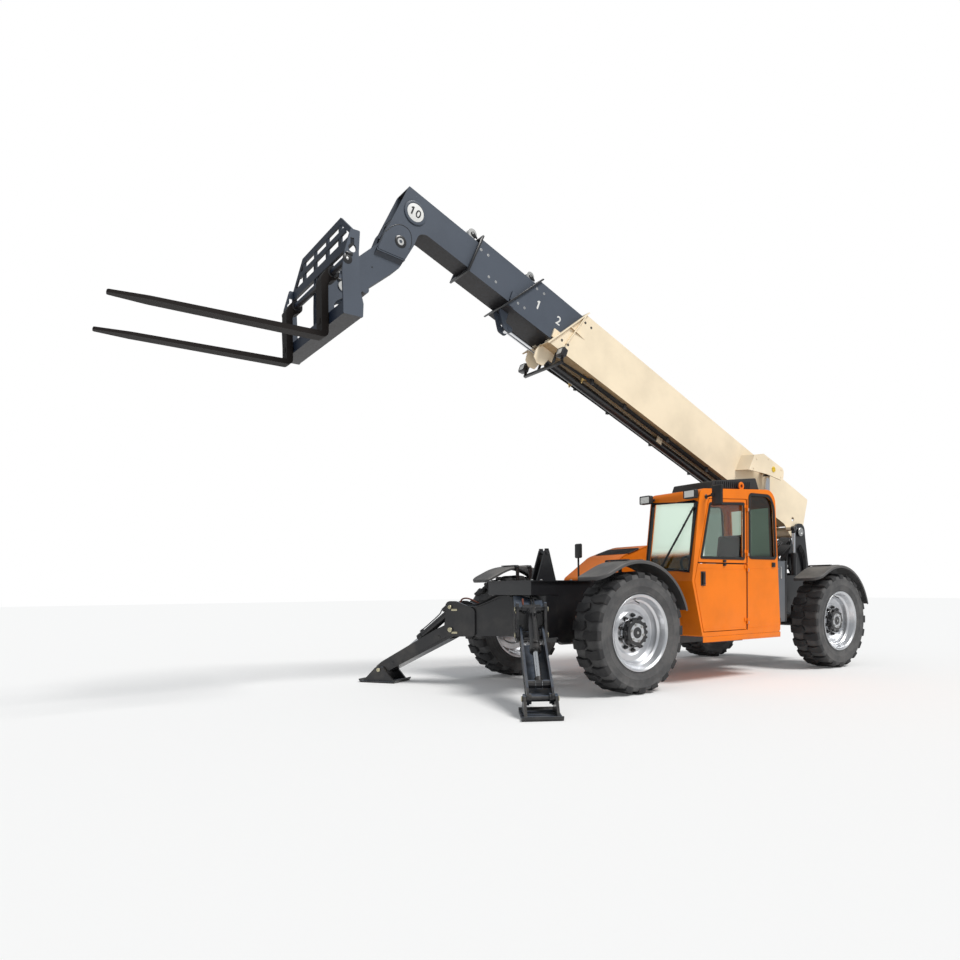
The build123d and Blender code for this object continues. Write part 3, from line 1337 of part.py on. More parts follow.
def engine_hood():
    """Hood shell over the fixed inner wall, with side louvres."""
    shell = hood_solid(0) - hood_solid(HOOD_SKIN)
    wall_room = side_plate(hood_rows(HOOD_SKIN, HOOD_SEAM_Z), HOOD_INSIDE - POD_WALL - RUN_GAP, HOOD_INSIDE + 1)
    slots = []
    for row in range(7):
        z = 1230 + row * 44
        slots.append(block(-2760, -2060, HOOD_OUTSIDE - 10, HOOD_OUTSIDE + 90, z, z + 20))
    hinges = []
    for x in HOOD_HINGES:
        x0, x1 = x + 31, x + 61
        hinges.append(bar((x0, HOOD_HINGE_Y, HOOD_HINGE_Z), (x1, HOOD_HINGE_Y, HOOD_HINGE_Z), 8))
        hinges.append(block(x0, x1, HOOD_INSIDE + 0.5, HOOD_HINGE_Y, HOOD_HINGE_Z, HOOD_HINGE_Z + 9))
        hinges.append(block(x0, x1, HOOD_INSIDE - 6, HOOD_HINGE_Y, HOOD_HINGE_Z + 7, HOOD_HINGE_Z + 13))
    return fused(cut(shell, wall_room, slots), hinges)


def engine_block():
    """Engine on its four feet."""
    body = block(-2560, -1700, -1060, -540, 660, 1380)
    feet = []
    for x in (-2480, -1840):
        for y in (-1010, -650):
            feet.append(block(x, x + 80, y, y + 60, POD_BOTTOM + 14 + SEAT_GAP, 670))
    return fused(body, feet)


def driveline():
    """Gearbox and the shafts to both axles."""
    gearbox = block(-2150, -1500, -180, 180, RAIL_BOTTOM + 14 + SEAT_GAP, 760)
    front = bar((-1510, 0, TYRE_RADIUS), (-275 - SEAT_GAP, 0, TYRE_RADIUS), 38)
    rear = bar((-2140, 0, TYRE_RADIUS), (-WHEELBASE + 275 + SEAT_GAP, 0, TYRE_RADIUS), 38)
    return fused(gearbox, front, rear)


def hydraulic_tank():
    """Tank behind the cab."""
    body = block(-2830, -2490, TANK_INSIDE, 1010, 640, 1400)
    body = fillet(body.edges().filter_by(Axis.Z), 40)
    neck = Pos(-2660, 720, 1415) * Cylinder(45, 34)
    return fused(body, neck)


def mirrors_and_lamps():
    """Two mirrors on their arms, two roof lamps and two tail lamps."""
    left = fused(
        bar((-1060, CAB_OUTSIDE + 2.05, 2075), (-1050, 1260, 2085), 12),
        block(-1070, -1030, 1245, 1390, 1965, 2190),
    )
    right = fused(
        bar((-880, -800, 1000), (-880, -800, 1500), 13),
        block(POD_FRONT + SEAT_GAP, -870, -830, -770, 1000, 1080),
        block(-895, -850, -865, -735, 1470, 1660),
    )
    lamps = []
    for y in (455, 1035):
        lamps.append(fused(
            block(-935, -860, y, y + 110, 2050, 2135),
            block(-950.8, -925, y + 40, y + 70, 2080, 2100),
        ))
    tail = block(-2475, -2437, 1075, 1145, 620, 700)
    tail_right = block(POD_REAR - 34, POD_REAR - SEAT_GAP, -1145, -1075, 700, 780)
    return [left, right, tail, tail_right, *lamps]


def corner(shape, x, left):
    """A left-hand wheel piece put at one corner of the machine."""
    side = shape if left else shape.mirror(Plane.XZ)
    return Pos(x, TRACK_Y if left else -TRACK_Y, TYRE_RADIUS) * side


def wheel_nodes():
    """Nodes of the four corners."""
    made = {"knuckle": knuckle(), "fender": fender(), "rim": rim(), "tyre": tyre()}
    nodes = {}
    for end, x in (("front", 0), ("rear", -WHEELBASE)):
        for hand in ("left", "right"):
            for name, shape in made.items():
                nodes[f"{name}_{end}_{hand}"] = corner(shape, x, hand == "left")
    return nodes


def stabilizer_nodes():
    """Nodes of the two stabilizers."""
    tube, piston = stabilizer_cylinder()
    end = leg_point(STAB_LEG, 0, STAB_ANGLE)
    made = {
        "leg": leg_place(STAB_ANGLE) * stabilizer_leg(),
        "foot": Pos(end[0], 0, end[1]) * stabilizer_foot(),
        "barrel": tube,
        "rod": piston,
    }
    nodes = {}
    for name, shape in made.items():
        placed = STABILIZER_PLACE * shape
        nodes[f"stabilizer_{name}_left"] = placed
        nodes[f"stabilizer_{name}_right"] = placed.mirror(Plane.XZ)
    return nodes


def cylinder_nodes():
    """Nodes of the boom's cylinders."""
    nodes = {}
    for name, pair in (
        ("lift", lift_cylinders()),
        ("level", level_cylinder()),
        ("tilt", tilt_cylinder()),
        ("extend", (extend_barrel(), extend_rod())),
    ):
        nodes[f"{name}_barrel"], nodes[f"{name}_rod"] = pair
    return nodes


def all_nodes():
    """Every node by name: one shape, or a list of separate solids."""
    nodes = {
        "chassis_frame": chassis_frame(),
        "stabilizer_beam": stabilizer_beam(),
        "front_axle": Pos(0, 0, TYRE_RADIUS) * axle(),
        "rear_axle": Pos(-WHEELBASE, 0, TYRE_RADIUS) * axle(),
        "driveline": driveline(),
        "engine_block": engine_block(),
        "engine_pod": engine_pod(),
        "engine_hood": engine_hood(),
        "cab_shell": cab_shell(),
        "cab_glass": cab_glass(),
        "door_lower": half_door(DOOR_LOW, WAIST_Z - DOOR_GAP, False),
        "door_upper": half_door(WAIST_Z - DOOR_GAP, DOOR_HIGH, True),
        "door_glass": door_glass(),
        "cab_seat": cab_seat(),
        "seat_base": seat_base(),
        "cab_console": cab_console(),
        "roof_vent": roof_vent(),
        "hydraulic_tank": hydraulic_tank(),
        "mirrors_and_lamps": mirrors_and_lamps(),
        "boom_base": boom_base(),
        "boom_lights": boom_lights(),
        "boom_section_2": section_2(),
        "boom_section_3": section_3(),
        "boom_section_4": section_4(),
        "fork_carriage": fork_carriage(),
        "fork_left": Pos(0, FORK_LEFT_Y, 0) * fork(),
        "fork_right": Pos(0, -FORK_RIGHT_Y, 0) * fork(),
    }
    nodes.update(wheel_nodes())
    nodes.update(stabilizer_nodes())
    nodes.update(cylinder_nodes())
    return nodes


def main():
    """Build every node and write one STEP file for each."""
    os.makedirs("parts", exist_ok=True)
    for name, made in all_nodes().items():
        shape = Compound(children=made) if isinstance(made, list) else made
        export_step(Pos(-ORIGIN_X, 0, 0) * shape, f"parts/{name}.step")


if __name__ == "__main__":
    main()
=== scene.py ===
"""Telescopic handler: tyres, cab fittings, boom and carriage fittings, and finishes over its CAD frame."""

import json
import logging
import math
from dataclasses import dataclass
from enum import Enum
from typing import Callable, Iterable, Sequence, Union

import bmesh
import bpy
from bpy.types import Material, Node, NodeSocket, Object
from mathutils import Matrix, Vector


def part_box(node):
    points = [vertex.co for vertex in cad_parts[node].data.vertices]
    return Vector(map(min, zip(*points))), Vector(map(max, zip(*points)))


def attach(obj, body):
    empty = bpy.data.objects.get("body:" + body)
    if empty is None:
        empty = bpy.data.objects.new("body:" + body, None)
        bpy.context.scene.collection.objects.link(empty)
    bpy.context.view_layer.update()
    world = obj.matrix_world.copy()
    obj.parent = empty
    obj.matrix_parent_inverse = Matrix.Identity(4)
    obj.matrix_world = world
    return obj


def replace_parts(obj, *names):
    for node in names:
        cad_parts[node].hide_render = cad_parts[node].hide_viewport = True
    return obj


LOG = logging.getLogger("telehandler")
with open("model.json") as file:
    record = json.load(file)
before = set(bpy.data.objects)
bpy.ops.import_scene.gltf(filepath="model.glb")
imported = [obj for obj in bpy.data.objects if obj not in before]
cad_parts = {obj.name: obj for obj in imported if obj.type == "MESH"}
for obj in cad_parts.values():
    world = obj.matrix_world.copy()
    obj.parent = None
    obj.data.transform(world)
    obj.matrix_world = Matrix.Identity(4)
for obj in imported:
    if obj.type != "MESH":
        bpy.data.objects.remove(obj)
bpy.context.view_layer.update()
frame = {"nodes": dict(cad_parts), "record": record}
NODES = frame["nodes"]
JOINTS = {joint["name"]: joint for joint in frame["record"]["behaviour"]["joints"]}
Point = Sequence[float]
Place = Callable[[float, float, float], Vector]
HANDS = (("left", 1), ("right", -1))
SIDES = (1, -1)
ORIGIN = (0.0, 0.0, 0.0)
AHEAD, UP = 0, 2
DUST = (0.42, 0.37, 0.31)
BARE = (0.20, 0.185, 0.17)
LINT = (0.45, 0.42, 0.38)
SMOOTH_BELOW = 35.0
SWELL = 0.008


# ------------------------------------------------------------------ shader maths
class Value:
    """Number on a shader socket that can be used in arithmetic."""

    def __init__(self, graph: "Graph", socket: NodeSocket) -> None:
        """Keep the socket and the graph that it belongs to."""
        self.graph = graph
        self.socket = socket

    def __add__(self, other: "Number") -> "Value":
        """Sum."""
        return self.graph.math("ADD", self, other)

    def __rsub__(self, other: "Number") -> "Value":
        """Difference with this value taken away."""
        return self.graph.math("SUBTRACT", other, self)

    def __mul__(self, other: "Number") -> "Value":
        """Product."""
        return self.graph.math("MULTIPLY", self, other)

    def clamp(self) -> "Value":
        """This value held between 0 and 1."""
        return self.graph.math("ADD", self, 0.0, clamp=True)

    def ramp(self, low: float, high: float) -> "Value":
        """Smooth rise from 0 at low to 1 at high."""
        node = self.graph.add("ShaderNodeMapRange", {"interpolation_type": "SMOOTHSTEP"},
                              {"Value": self, "From Min": low, "From Max": high})
        return Value(self.graph, node.outputs["Result"])


Number = Union[Value, float]


class Graph:
    """Node tree of one material."""

    def __init__(self, name: str, owner: bpy.types.ID | None = None) -> None:
        """Start an empty material, or the tree of another owner such as a world."""
        self.material = owner or bpy.data.materials.new(name)
        self.material.use_nodes = True
        self.tree = self.material.node_tree
        self.tree.nodes.clear()
        self.place = self.add("ShaderNodeTexCoord").outputs["Object"]

    def add(self, kind: str, settings: dict | None = None, inputs: dict | None = None) -> Node:
        """Add a node.

        Args:
            kind: the node's type.
            settings: its properties.
            inputs: values or links by socket name or number.

        Returns:
            The node.
        """
        node = self.tree.nodes.new(kind)
        for key, value in (settings or {}).items():
            setattr(node, key, value)
        for key, value in (inputs or {}).items():
            source = value.socket if isinstance(value, Value) else value
            if isinstance(source, NodeSocket):
                self.tree.links.new(source, node.inputs[key])
            else:
                node.inputs[key].default_value = (*source, 1.0) if isinstance(source, tuple) else source
        return node

    def math(self, operation: str, a: Number, b: Number, clamp: bool = False) -> Value:
        """Math node on two numbers."""
        node = self.add("ShaderNodeMath", {"operation": operation, "use_clamp": clamp}, {0: a, 1: b})
        return Value(self, node.outputs[0])

    def mix(self, factor: Number, a: object, b: object) -> NodeSocket:
        """Mix two colours, each a tuple or a socket."""
        return self.add("ShaderNodeMix", {"data_type": "RGBA"}, {0: factor, 6: a, 7: b}).outputs[2]

    def noise(self, scale: float, detail: float = 3.0, rough: float = 0.55) -> Value:
        """Noise over the object, from 0 to 1."""
        node = self.add("ShaderNodeTexNoise", {}, {"Vector": self.place, "Scale": scale, "Detail": detail,
                                                   "Roughness": rough})
        return Value(self, node.outputs[0])

    def wave(self, bands: str, scale: float, distortion: float = 0.0) -> Value:
        """Waves along an axis of the object, from 0 to 1."""
        node = self.add("ShaderNodeTexWave", {"bands_direction": bands},
                        {"Vector": self.place, "Scale": scale, "Distortion": distortion})
        return Value(self, node.outputs["Fac"])

    def spot(self, axis: int, source: NodeSocket | None = None) -> Value:
        """Place along an axis in metres, or one axis of another vector."""
        return Value(self, self.add("ShaderNodeSeparateXYZ", {}, {0: source or self.place}).outputs[axis])

    def facing(self, axis: int) -> Value:
        """How far the surface faces along an axis, from -1 to 1."""
        return self.spot(axis, self.add("ShaderNodeNewGeometry").outputs["Normal"])

    def seen(self) -> Value:
        """1 where the camera looks straight or through glass, else 0."""
        path = self.add("ShaderNodeLightPath").outputs
        return self.math("MAXIMUM", Value(self, path["Is Camera Ray"]), Value(self, path["Is Transmission Ray"]))

    def bump(self, level: Value, strength: float, distance: float) -> NodeSocket:
        """Normal bent by a height."""
        return self.add("ShaderNodeBump", {}, {"Height": level, "Strength": strength, "Distance": distance}).outputs[0]

    def shader(self, **inputs: object) -> NodeSocket:
        """Principled shader, its sockets named with _ for a space."""
        named = {key.replace("_", " "): value for key, value in inputs.items()}
        return self.add("ShaderNodeBsdfPrincipled", {}, named).outputs[0]

    def mixed(self, factor: Number, a: NodeSocket, b: NodeSocket) -> NodeSocket:
        """Mix two shaders."""
        return self.add("ShaderNodeMixShader", {}, {0: factor, 1: a, 2: b}).outputs[0]

    def close(self, surface: NodeSocket) -> Material:
        """End the material in a surface."""
        self.add("ShaderNodeOutputMaterial", {}, {0: surface})
        return self.material


# ------------------------------------------------------------------ finishes
@dataclass(frozen=True)
class Paint:
    """Sprayed steel with orange peel, faint dust and rubbed patches, and optional painted light: shade on faces that
    look ahead or down, a ground reflection on undersides, a sky reflection on faces that look up.
    """

    name: str
    colour: tuple
    roughness: float = 0.38
    coat: float = 0.25
    dust: float = 0.10
    wear: float = 0.0
    peel: float = 0.05
    under: tuple = ()
    shine: float = 0.5
    sky: tuple = ()
    ahead: tuple = ()

    def make(self) -> Material:
        """Build the material."""
        graph = Graph(self.name)
        cloud = graph.noise(1.7, 4.0)
        fine = graph.noise(38.0)
        base = graph.mix(cloud.ramp(0.35, 0.7), self.colour, tuple(c * 0.86 for c in self.colour))
        # Painted shade: faces that look ahead shift to a darker colour.
        if self.ahead:
            base = graph.mix(graph.facing(AHEAD).ramp(0.45, 0.75), base, self.ahead)
        # Painted shade and painted ground reflection: faces that look down shift to a darker, browner colour.
        if self.under:
            below = (graph.facing(UP) * -1.0).ramp(0.35, 0.8) * (fine * 0.3 + 0.7)
            base = graph.mix(below, base, self.under)
        # Painted reflection of the sky: faces that look up shift to a paler blue colour.
        if self.sky:
            base = graph.mix(graph.facing(UP).ramp(0.75, 0.98) * 0.85, base, self.sky)
        if self.wear:
            chips = graph.noise(26.0, 5.0, 0.7).ramp(0.67, 0.71) * cloud.ramp(0.42, 0.62) * self.wear
            base = graph.mix(chips, base, BARE)
        settled = graph.facing(UP).ramp(0.2, 1.0) * fine.ramp(0.3, 0.75)
        splash = (1.0 - graph.spot(UP).ramp(0.15, 1.3)) * graph.noise(5.0, 5.0).ramp(0.42, 0.7)
        dirt = ((settled + splash) * self.dust).clamp()
        rough = (fine * 0.10 + (self.roughness - 0.05) + dirt * 0.4).clamp()
        return graph.close(graph.shader(
            Base_Color=graph.mix(dirt, base, DUST), Roughness=rough, Coat_Weight=self.coat, Coat_Roughness=0.12,
            Specular_IOR_Level=self.shine, Normal=graph.bump(graph.noise(210.0, 2.0), self.peel, 0.002)))


@dataclass(frozen=True)
class Rubber:
    """Black rubber with grey dust in its hollows and on its walls."""

    name: str
    colour: tuple
    dusty: tuple
    amount: float = 0.55

    def make(self) -> Material:
        """Build the material."""
        graph = Graph(self.name)
        cloud = graph.noise(6.0, 6.0, 0.65)
        base = graph.mix(cloud.ramp(0.30, 0.75) * self.amount, self.colour, self.dusty)
        return graph.close(graph.shader(Base_Color=base, Roughness=(cloud * 0.2 + 0.62).clamp(),
                                        Normal=graph.bump(graph.noise(160.0) + cloud * 0.6, 0.25, 0.0015)))


@dataclass(frozen=True)
class Plastic:
    """Moulded plastic with a fine leather grain."""

    name: str
    colour: tuple
    roughness: float = 0.55
    grain: float = 0.25
    dust: float = 0.12

    def make(self) -> Material:
        """Build the material."""
        graph = Graph(self.name)
        cells = graph.add("ShaderNodeTexVoronoi", {}, {"Vector": graph.place, "Scale": 260.0})
        cloud = graph.noise(3.0, 5.0)
        settled = graph.facing(UP).ramp(0.0, 1.0) * cloud.ramp(0.3, 0.7)
        dirt = (settled * self.dust + cloud * self.dust * 0.5).clamp()
        return graph.close(graph.shader(
            Base_Color=graph.mix(dirt, self.colour, LINT), Roughness=(cloud * 0.14 + (self.roughness - 0.07)).clamp(),
            Normal=graph.bump(Value(graph, cells.outputs["Distance"]), self.grain, 0.0012)))


@dataclass(frozen=True)
class Metal:
    """Bare metal, turned or polished, with an oil film."""

    name: str
    colour: tuple
    roughness: float
    film: float = 0.25
    scratch: float = 0.05

    def make(self) -> Material:
        """Build the material."""
        graph = Graph(self.name)
        cloud = graph.noise(9.0, 4.0)
        lines = graph.noise(420.0, 2.0)
        base = graph.mix(cloud.ramp(0.45, 0.75) * self.film, self.colour, tuple(c * 0.62 for c in self.colour))
        rough = (cloud * 0.12 + lines * 0.05 + (self.roughness - 0.06)).clamp()
        return graph.close(graph.shader(Base_Color=base, Roughness=rough, Metallic=1.0,
                                        Normal=graph.bump(lines, self.scratch, 0.0008)))


@dataclass(frozen=True)
class Glass:
    """Tinted safety glass; the upper panes that face ahead carry a painted, glowing reflection of the pale sky, and
    painted shade darkens the rear panes and the lower front glass.
    """

    name: str
    colour: tuple
    # Painted light: the glowing colour of the painted sky reflection, and its share on the upper front panes.
    painted_sky_glow: tuple = (0.80, 0.96, 0.82)
    cover: float = 0.78
    # Painted shade: darker colours for the rear panes and for the lower part of the front glass.
    rear_shade_tint: tuple = (0.15, 0.20, 0.17)
    low_shade_tint: tuple = (0.08, 0.16, 0.19)

    def make(self) -> Material:
        """Build the material."""
        graph = Graph(self.name)
        height = graph.spot(UP)
        ahead = graph.facing(AHEAD).ramp(0.80, 0.95)
        # Painted shade: panes towards the rear take a darker colour.
        tint_and_shade = graph.mix(1.0 - graph.spot(AHEAD).ramp(-1.86, -1.80), self.colour, self.rear_shade_tint)
        # Painted shade: the lower part of the panes that face ahead takes a dark blue-green colour.
        tint_and_shade = graph.mix((1.0 - height.ramp(1.40, 1.47)) * ahead, tint_and_shade, self.low_shade_tint)
        haze = graph.noise(4.0, 4.0).ramp(0.45, 0.8)
        clear = graph.shader(Base_Color=tint_and_shade, Roughness=haze * 0.02, Transmission_Weight=1.0, IOR=1.45)
        # Painted reflection of the pale sky, glowing with a fixed emission, laid over the upper part of the panes that
        # face ahead.
        painted_sky_glow = graph.shader(Base_Color=self.painted_sky_glow, Roughness=0.08, Coat_Weight=0.3,
                             Emission_Color=self.painted_sky_glow, Emission_Strength=0.42)
        return graph.close(graph.mixed(ahead * height.ramp(1.42, 1.52) * self.cover, clear, painted_sky_glow))


@dataclass(frozen=True)
class Cloth:
    """Woven seat cover."""

    name: str
    colour: tuple
    thread: tuple

    def make(self) -> Material:
        """Build the material."""
        graph = Graph(self.name)
        weave = graph.wave("Y", 160.0, 1.0) * graph.wave("X", 160.0, 1.0)
        base = graph.mix((weave * 0.7 + graph.noise(7.0, 4.0) * 0.3).clamp(), self.colour, self.thread)
        return graph.close(graph.shader(Base_Color=base, Roughness=0.9, Sheen_Weight=0.3,
                                        Normal=graph.bump(weave, 0.4, 0.001)))


@dataclass(frozen=True)
class Lamp:
    """Lamp lens with fine ribs."""

    name: str
    colour: tuple
    glow: float = 0.0

    def make(self) -> Material:
        """Build the material."""
        graph = Graph(self.name)
        return graph.close(graph.shader(Base_Color=self.colour, Roughness=0.12, Coat_Weight=1.0,
                                        Emission_Color=self.colour, Emission_Strength=self.glow,
                                        Normal=graph.bump(graph.wave("Z", 60.0), 0.4, 0.002)))


class Finish(Enum):
    """Finishes of the machine's pieces."""

    ORANGE = Paint("cab_orange", (0.93, 0.212, 0.004), 0.45, 0.08, 0.05, shine=0.28)
    # under: painted shade and a painted brown ground reflection on the boom's undersides.
    CREAM = Paint("boom_cream", (0.965, 0.825, 0.610), 0.45, 0.08, 0.05, under=(0.40, 0.25, 0.11), shine=0.3)
    # Painted shade: a near-black colour on undersides, and a dark bluish one on faces that look ahead.
    SLATE = Paint("slate_paint", (0.082, 0.098, 0.126), 0.48, 0.10, 0.06, 0.10, 0.05, (0.020, 0.015, 0.012), 0.25,
                  ahead=(0.012, 0.020, 0.038))
    # sky: a painted sky reflection on faces that look up.
    BLACK = Paint("frame_black", (0.012, 0.012, 0.014), 0.34, 0.35, 0.10, 0.12, sky=(0.085, 0.115, 0.165))
    GLOSS = Paint("glazing_border", (0.010, 0.011, 0.012), 0.10, 0.6, 0.03)
    RUST = Rubber("red_hose", (0.16, 0.035, 0.016), (0.20, 0.10, 0.07), 0.4)
    SATIN = Paint("satin_black", (0.016, 0.016, 0.018), 0.34, 0.3, 0.06)
    GREY = Paint("tank_enamel", (0.115, 0.125, 0.140), 0.45, 0.15, 0.2)
    SILVER = Metal("rim_enamel", (0.70, 0.71, 0.73), 0.30, 0.35)
    FORKED = Paint("fork_black", (0.016, 0.013, 0.012), 0.55, 0.0, 0.03, 0.15, shine=0.12)
    ZINC = Metal("yellow_zinc", (0.62, 0.57, 0.40), 0.36, 0.3)
    WHITE = Paint("white_letters", (0.80, 0.80, 0.78), 0.5, 0.0, 0.05)
    YELLOW = Paint("yellow_paint", (0.86, 0.58, 0.02), 0.4, 0.2, 0.1)
    IRON = Paint("iron_casting", (0.045, 0.047, 0.050), 0.6, 0.0, 0.3, 0.2, 0.4)
    TREAD = Rubber("tread_rubber", (0.016, 0.016, 0.018), (0.070, 0.067, 0.064), 0.45)
    WALL = Rubber("wall_rubber", (0.058, 0.058, 0.060), (0.160, 0.155, 0.150), 0.55)
    HOSE = Rubber("hose_rubber", (0.010, 0.010, 0.011), (0.050, 0.047, 0.043), 0.4)
    FENDER = Plastic("fender_plastic", (0.060, 0.060, 0.063), 0.5, 0.2, 0.25)
    TRIM = Plastic("black_trim", (0.012, 0.012, 0.013), 0.45, 0.2, 0.08)
    CABIN = Plastic("cabin_plastic", (0.020, 0.021, 0.023), 0.6, 0.3, 0.1)
    GASKET = Rubber("window_gasket", (0.008, 0.008, 0.008), (0.03, 0.03, 0.03), 0.3)
    CHROME = Metal("polished_chrome", (0.83, 0.84, 0.86), 0.12, 0.15)
    STEEL = Metal("zinc_steel", (0.55, 0.55, 0.54), 0.36, 0.4, 0.1)
    BRASS = Metal("brass_fitting", (0.70, 0.50, 0.20), 0.3, 0.4)
    GLASS = Glass("safety_glass", (0.90, 0.965, 0.93))
    MIRROR = Metal("mirror_glass", (0.85, 0.87, 0.88), 0.07, 0.0, 0.0)
    CLOTH = Cloth("seat_cloth", (0.012, 0.012, 0.014), (0.05, 0.05, 0.055))
    LENS = Lamp("clear_lens", (0.80, 0.80, 0.76), 0.05)
    TAIL = Lamp("tail_lens", (0.60, 0.01, 0.006), 0.02)

    def material(self) -> Material:
        """The finish's material, built once."""
        return bpy.data.materials.get(self.value.name) or self.value.make()

    def piece(self, name: str, *parts: Object, body: str = "chassis", angle: float = SMOOTH_BELOW,
              slot: str = "") -> Object:
        """Join parts into a piece, name it, dress it and attach it.

        Args:
            name: the piece's name.
            parts: its parts.
            body: the body that it rides on.
            angle: shading angle in degrees.
            slot: the record's material slot, if not the finish's usual one; not used.

        Returns:
            The piece.
        """
        obj = Bench.join(parts)
        obj.name = name
        obj.data.name = name
        Bench.settle(obj)
        bpy.ops.object.shade_smooth_by_angle(angle=math.radians(angle))
        obj.data.materials.clear()
        obj.data.materials.append(self.material())
        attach(obj, body)
        slot or USUAL_SLOT[self]
        LOG.info("%s: %d faces on %s", name, len(obj.data.polygons), body)
        return obj


USUAL_SLOT = {Finish[finish]: slot for slot, finishes in {
    "cab_plastic": "TRIM GLOSS GASKET TAIL", "chrome_rod": "STEEL MIRROR BRASS FORKED ZINC",
    "black_paint": "SATIN HOSE BLACK RUST", "tyre_rubber": "WALL TREAD", "orange_paint": "ORANGE",
    "tinted_glass": "LENS", "seat_cover": "CLOTH", "rim_silver": "WHITE", "boom_grey": "SLATE",
    "cream_paint": "YELLOW CREAM",
}.items() for finish in finishes.split()}


# ------------------------------------------------------------------ bench
class Bench:
    """Modelling moves shared by the pieces; sizes in metres."""

    @staticmethod
    def clear() -> None:
        """Deselect everything."""
        for obj in bpy.context.selected_objects:
            obj.select_set(False)

    @classmethod
    def pick(cls, *objects: Object) -> None:
        """Select only these objects, the first one active."""
        cls.clear()
        for obj in objects:
            obj.select_set(True)
        bpy.context.view_layer.objects.active = objects[0]

    @staticmethod
    def whole() -> None:
        """Select all of the mesh."""
        bpy.ops.mesh.select_all(action="SELECT")

    @staticmethod
    def outward() -> None:
        """Turn every face outwards."""
        bpy.ops.mesh.normals_make_consistent(inside=False)

    @classmethod
    def edit(cls, obj: Object, *moves: Callable[[], object]) -> Object:
        """Run edit-mode moves on all of an object's mesh."""
        cls.pick(obj)
        bpy.ops.object.mode_set(mode="EDIT")
        for move in (cls.whole, *moves):
            move()
        bpy.ops.object.mode_set(mode="OBJECT")
        return obj

    @classmethod
    def settle(cls, obj: Object, place: Matrix | None = None) -> Object:
        """Move an object by a matrix and bring its place into its mesh."""
        if place is not None:
            obj.matrix_world = place @ obj.matrix_world
        cls.pick(obj)
        bpy.ops.object.transform_apply(location=True, rotation=True, scale=True)
        return obj

    @classmethod
    def applied(cls, obj: Object, kind: str, **settings: object) -> Object:
        """Add a modifier and apply it."""
        modifier = obj.modifiers.new(kind, kind)
        for key, value in settings.items():
            setattr(modifier, key, value)
        cls.pick(obj)
        bpy.ops.object.modifier_apply(modifier=modifier.name)
        return obj

    @classmethod
    def slab(cls, low: Point, high: Point, bevel: float = 0.0, steps: int = 2) -> Object:
        """Box between two corners with rounded edges."""
        cls.clear()
        bpy.ops.mesh.primitive_cube_add(size=1.0, location=[(a + b) / 2 for a, b in zip(low, high)],
                                        scale=[abs(b - a) for a, b in zip(low, high)])
        obj = cls.settle(bpy.context.object)
        if bevel:
            cls.edit(obj, lambda: bpy.ops.mesh.bevel(offset=bevel, segments=steps, affect="EDGES"))
        return obj

    @classmethod
    def bar(cls, start: Point, end: Point, radius: float, sides: int = 24, bevel: float = 0.0) -> Object:
        """Round bar between two points, with rounded rims."""
        cls.clear()
        a, b = Vector(start), Vector(end)
        bpy.ops.mesh.primitive_cone_add(vertices=sides, radius1=radius, radius2=radius, depth=(b - a).length)
        obj = bpy.context.object

        def rims() -> None:
            """Round the two end rims."""
            mesh = bmesh.from_edit_mesh(obj.data)
            for edge in mesh.edges:
                edge.select_set(len({round(v.co.z, 6) for v in edge.verts}) == 1)
            mesh.select_flush_mode()
            bmesh.update_edit_mesh(obj.data)
            bpy.ops.mesh.bevel(offset=bevel, segments=2, affect="EDGES")

        if bevel:
            cls.edit(obj, rims)
        turn = (b - a).to_track_quat("Z", "Y").to_matrix().to_4x4()
        obj.matrix_world = Matrix.Translation((a + b) / 2) @ turn
        return cls.settle(obj)

    @classmethod
    def drawn(cls, outline: Sequence[Point], fill: str = "NGON") -> Object:
        """Flat closed run of points."""
        cls.clear()
        bpy.ops.mesh.primitive_circle_add(vertices=len(outline), fill_type=fill)
        obj = bpy.context.object
        for vertex, point in zip(obj.data.vertices, outline):
            vertex.co = point
        return obj

    @classmethod
    def sheet(cls, outline: Sequence[Point], thickness: Point, corner: float = 0.0, bevel: float = 0.0,
              strip: float = 0.0) -> Object:
        """Plate from a flat run of corner points.

        Args:
            outline: corner points in order.
            thickness: vector from the drawn face to the other.
            corner: radius of the outline's corners.
            bevel: rounding of the plate's edges.
            strip: width of a ring along the outline, such as a window's gasket, in place of a full plate.

        Returns:
            The plate.
        """
        mesh = bpy.ops.mesh
        moves: list[Callable[[], object]] = []
        if corner:
            moves.append(lambda: mesh.bevel(offset=corner, segments=5 if strip else 4, affect="VERTICES"))
        if strip:
            moves += [lambda: mesh.inset(thickness=strip), lambda: mesh.delete(type="FACE"), cls.whole]
        moves.append(lambda: mesh.extrude_region_move(TRANSFORM_OT_translate={"value": thickness}))
        obj = cls.edit(cls.drawn(outline), *moves, cls.whole, cls.outward)
        return cls.applied(obj, "BEVEL", width=bevel, segments=2, limit_method="ANGLE") if bevel else obj

    @classmethod
    def turned(cls, profile: Sequence[Point], centre: Point, steps: int = 64) -> Object:
        """Solid or ring spun about a line along Y.

        Args:
            profile: (radius, y) pairs in order; closed on itself.
            centre: a point on the line.
            steps: sides of the finished round.

        Returns:
            The spun piece.
        """
        points = [(centre[0] + radius, centre[1] + across, centre[2]) for radius, across in profile]
        return cls.edit(cls.drawn(points, "NOTHING"),
                        lambda: bpy.ops.mesh.spin(steps=steps, angle=math.tau, center=centre, axis=(0, 1, 0)),
                        cls.whole, lambda: bpy.ops.mesh.remove_doubles(threshold=0.00002), cls.outward)

    @classmethod
    def cap(cls, profile: Sequence[Point], start: Point, direction: Point, steps: int = 32) -> Object:
        """Round piece spun from (radius, height) pairs, standing on a point along a direction."""
        turn = Vector(direction).to_track_quat("Y", "Z").to_matrix().to_4x4()
        return cls.settle(cls.turned(profile, ORIGIN, steps), Matrix.Translation(start) @ turn)

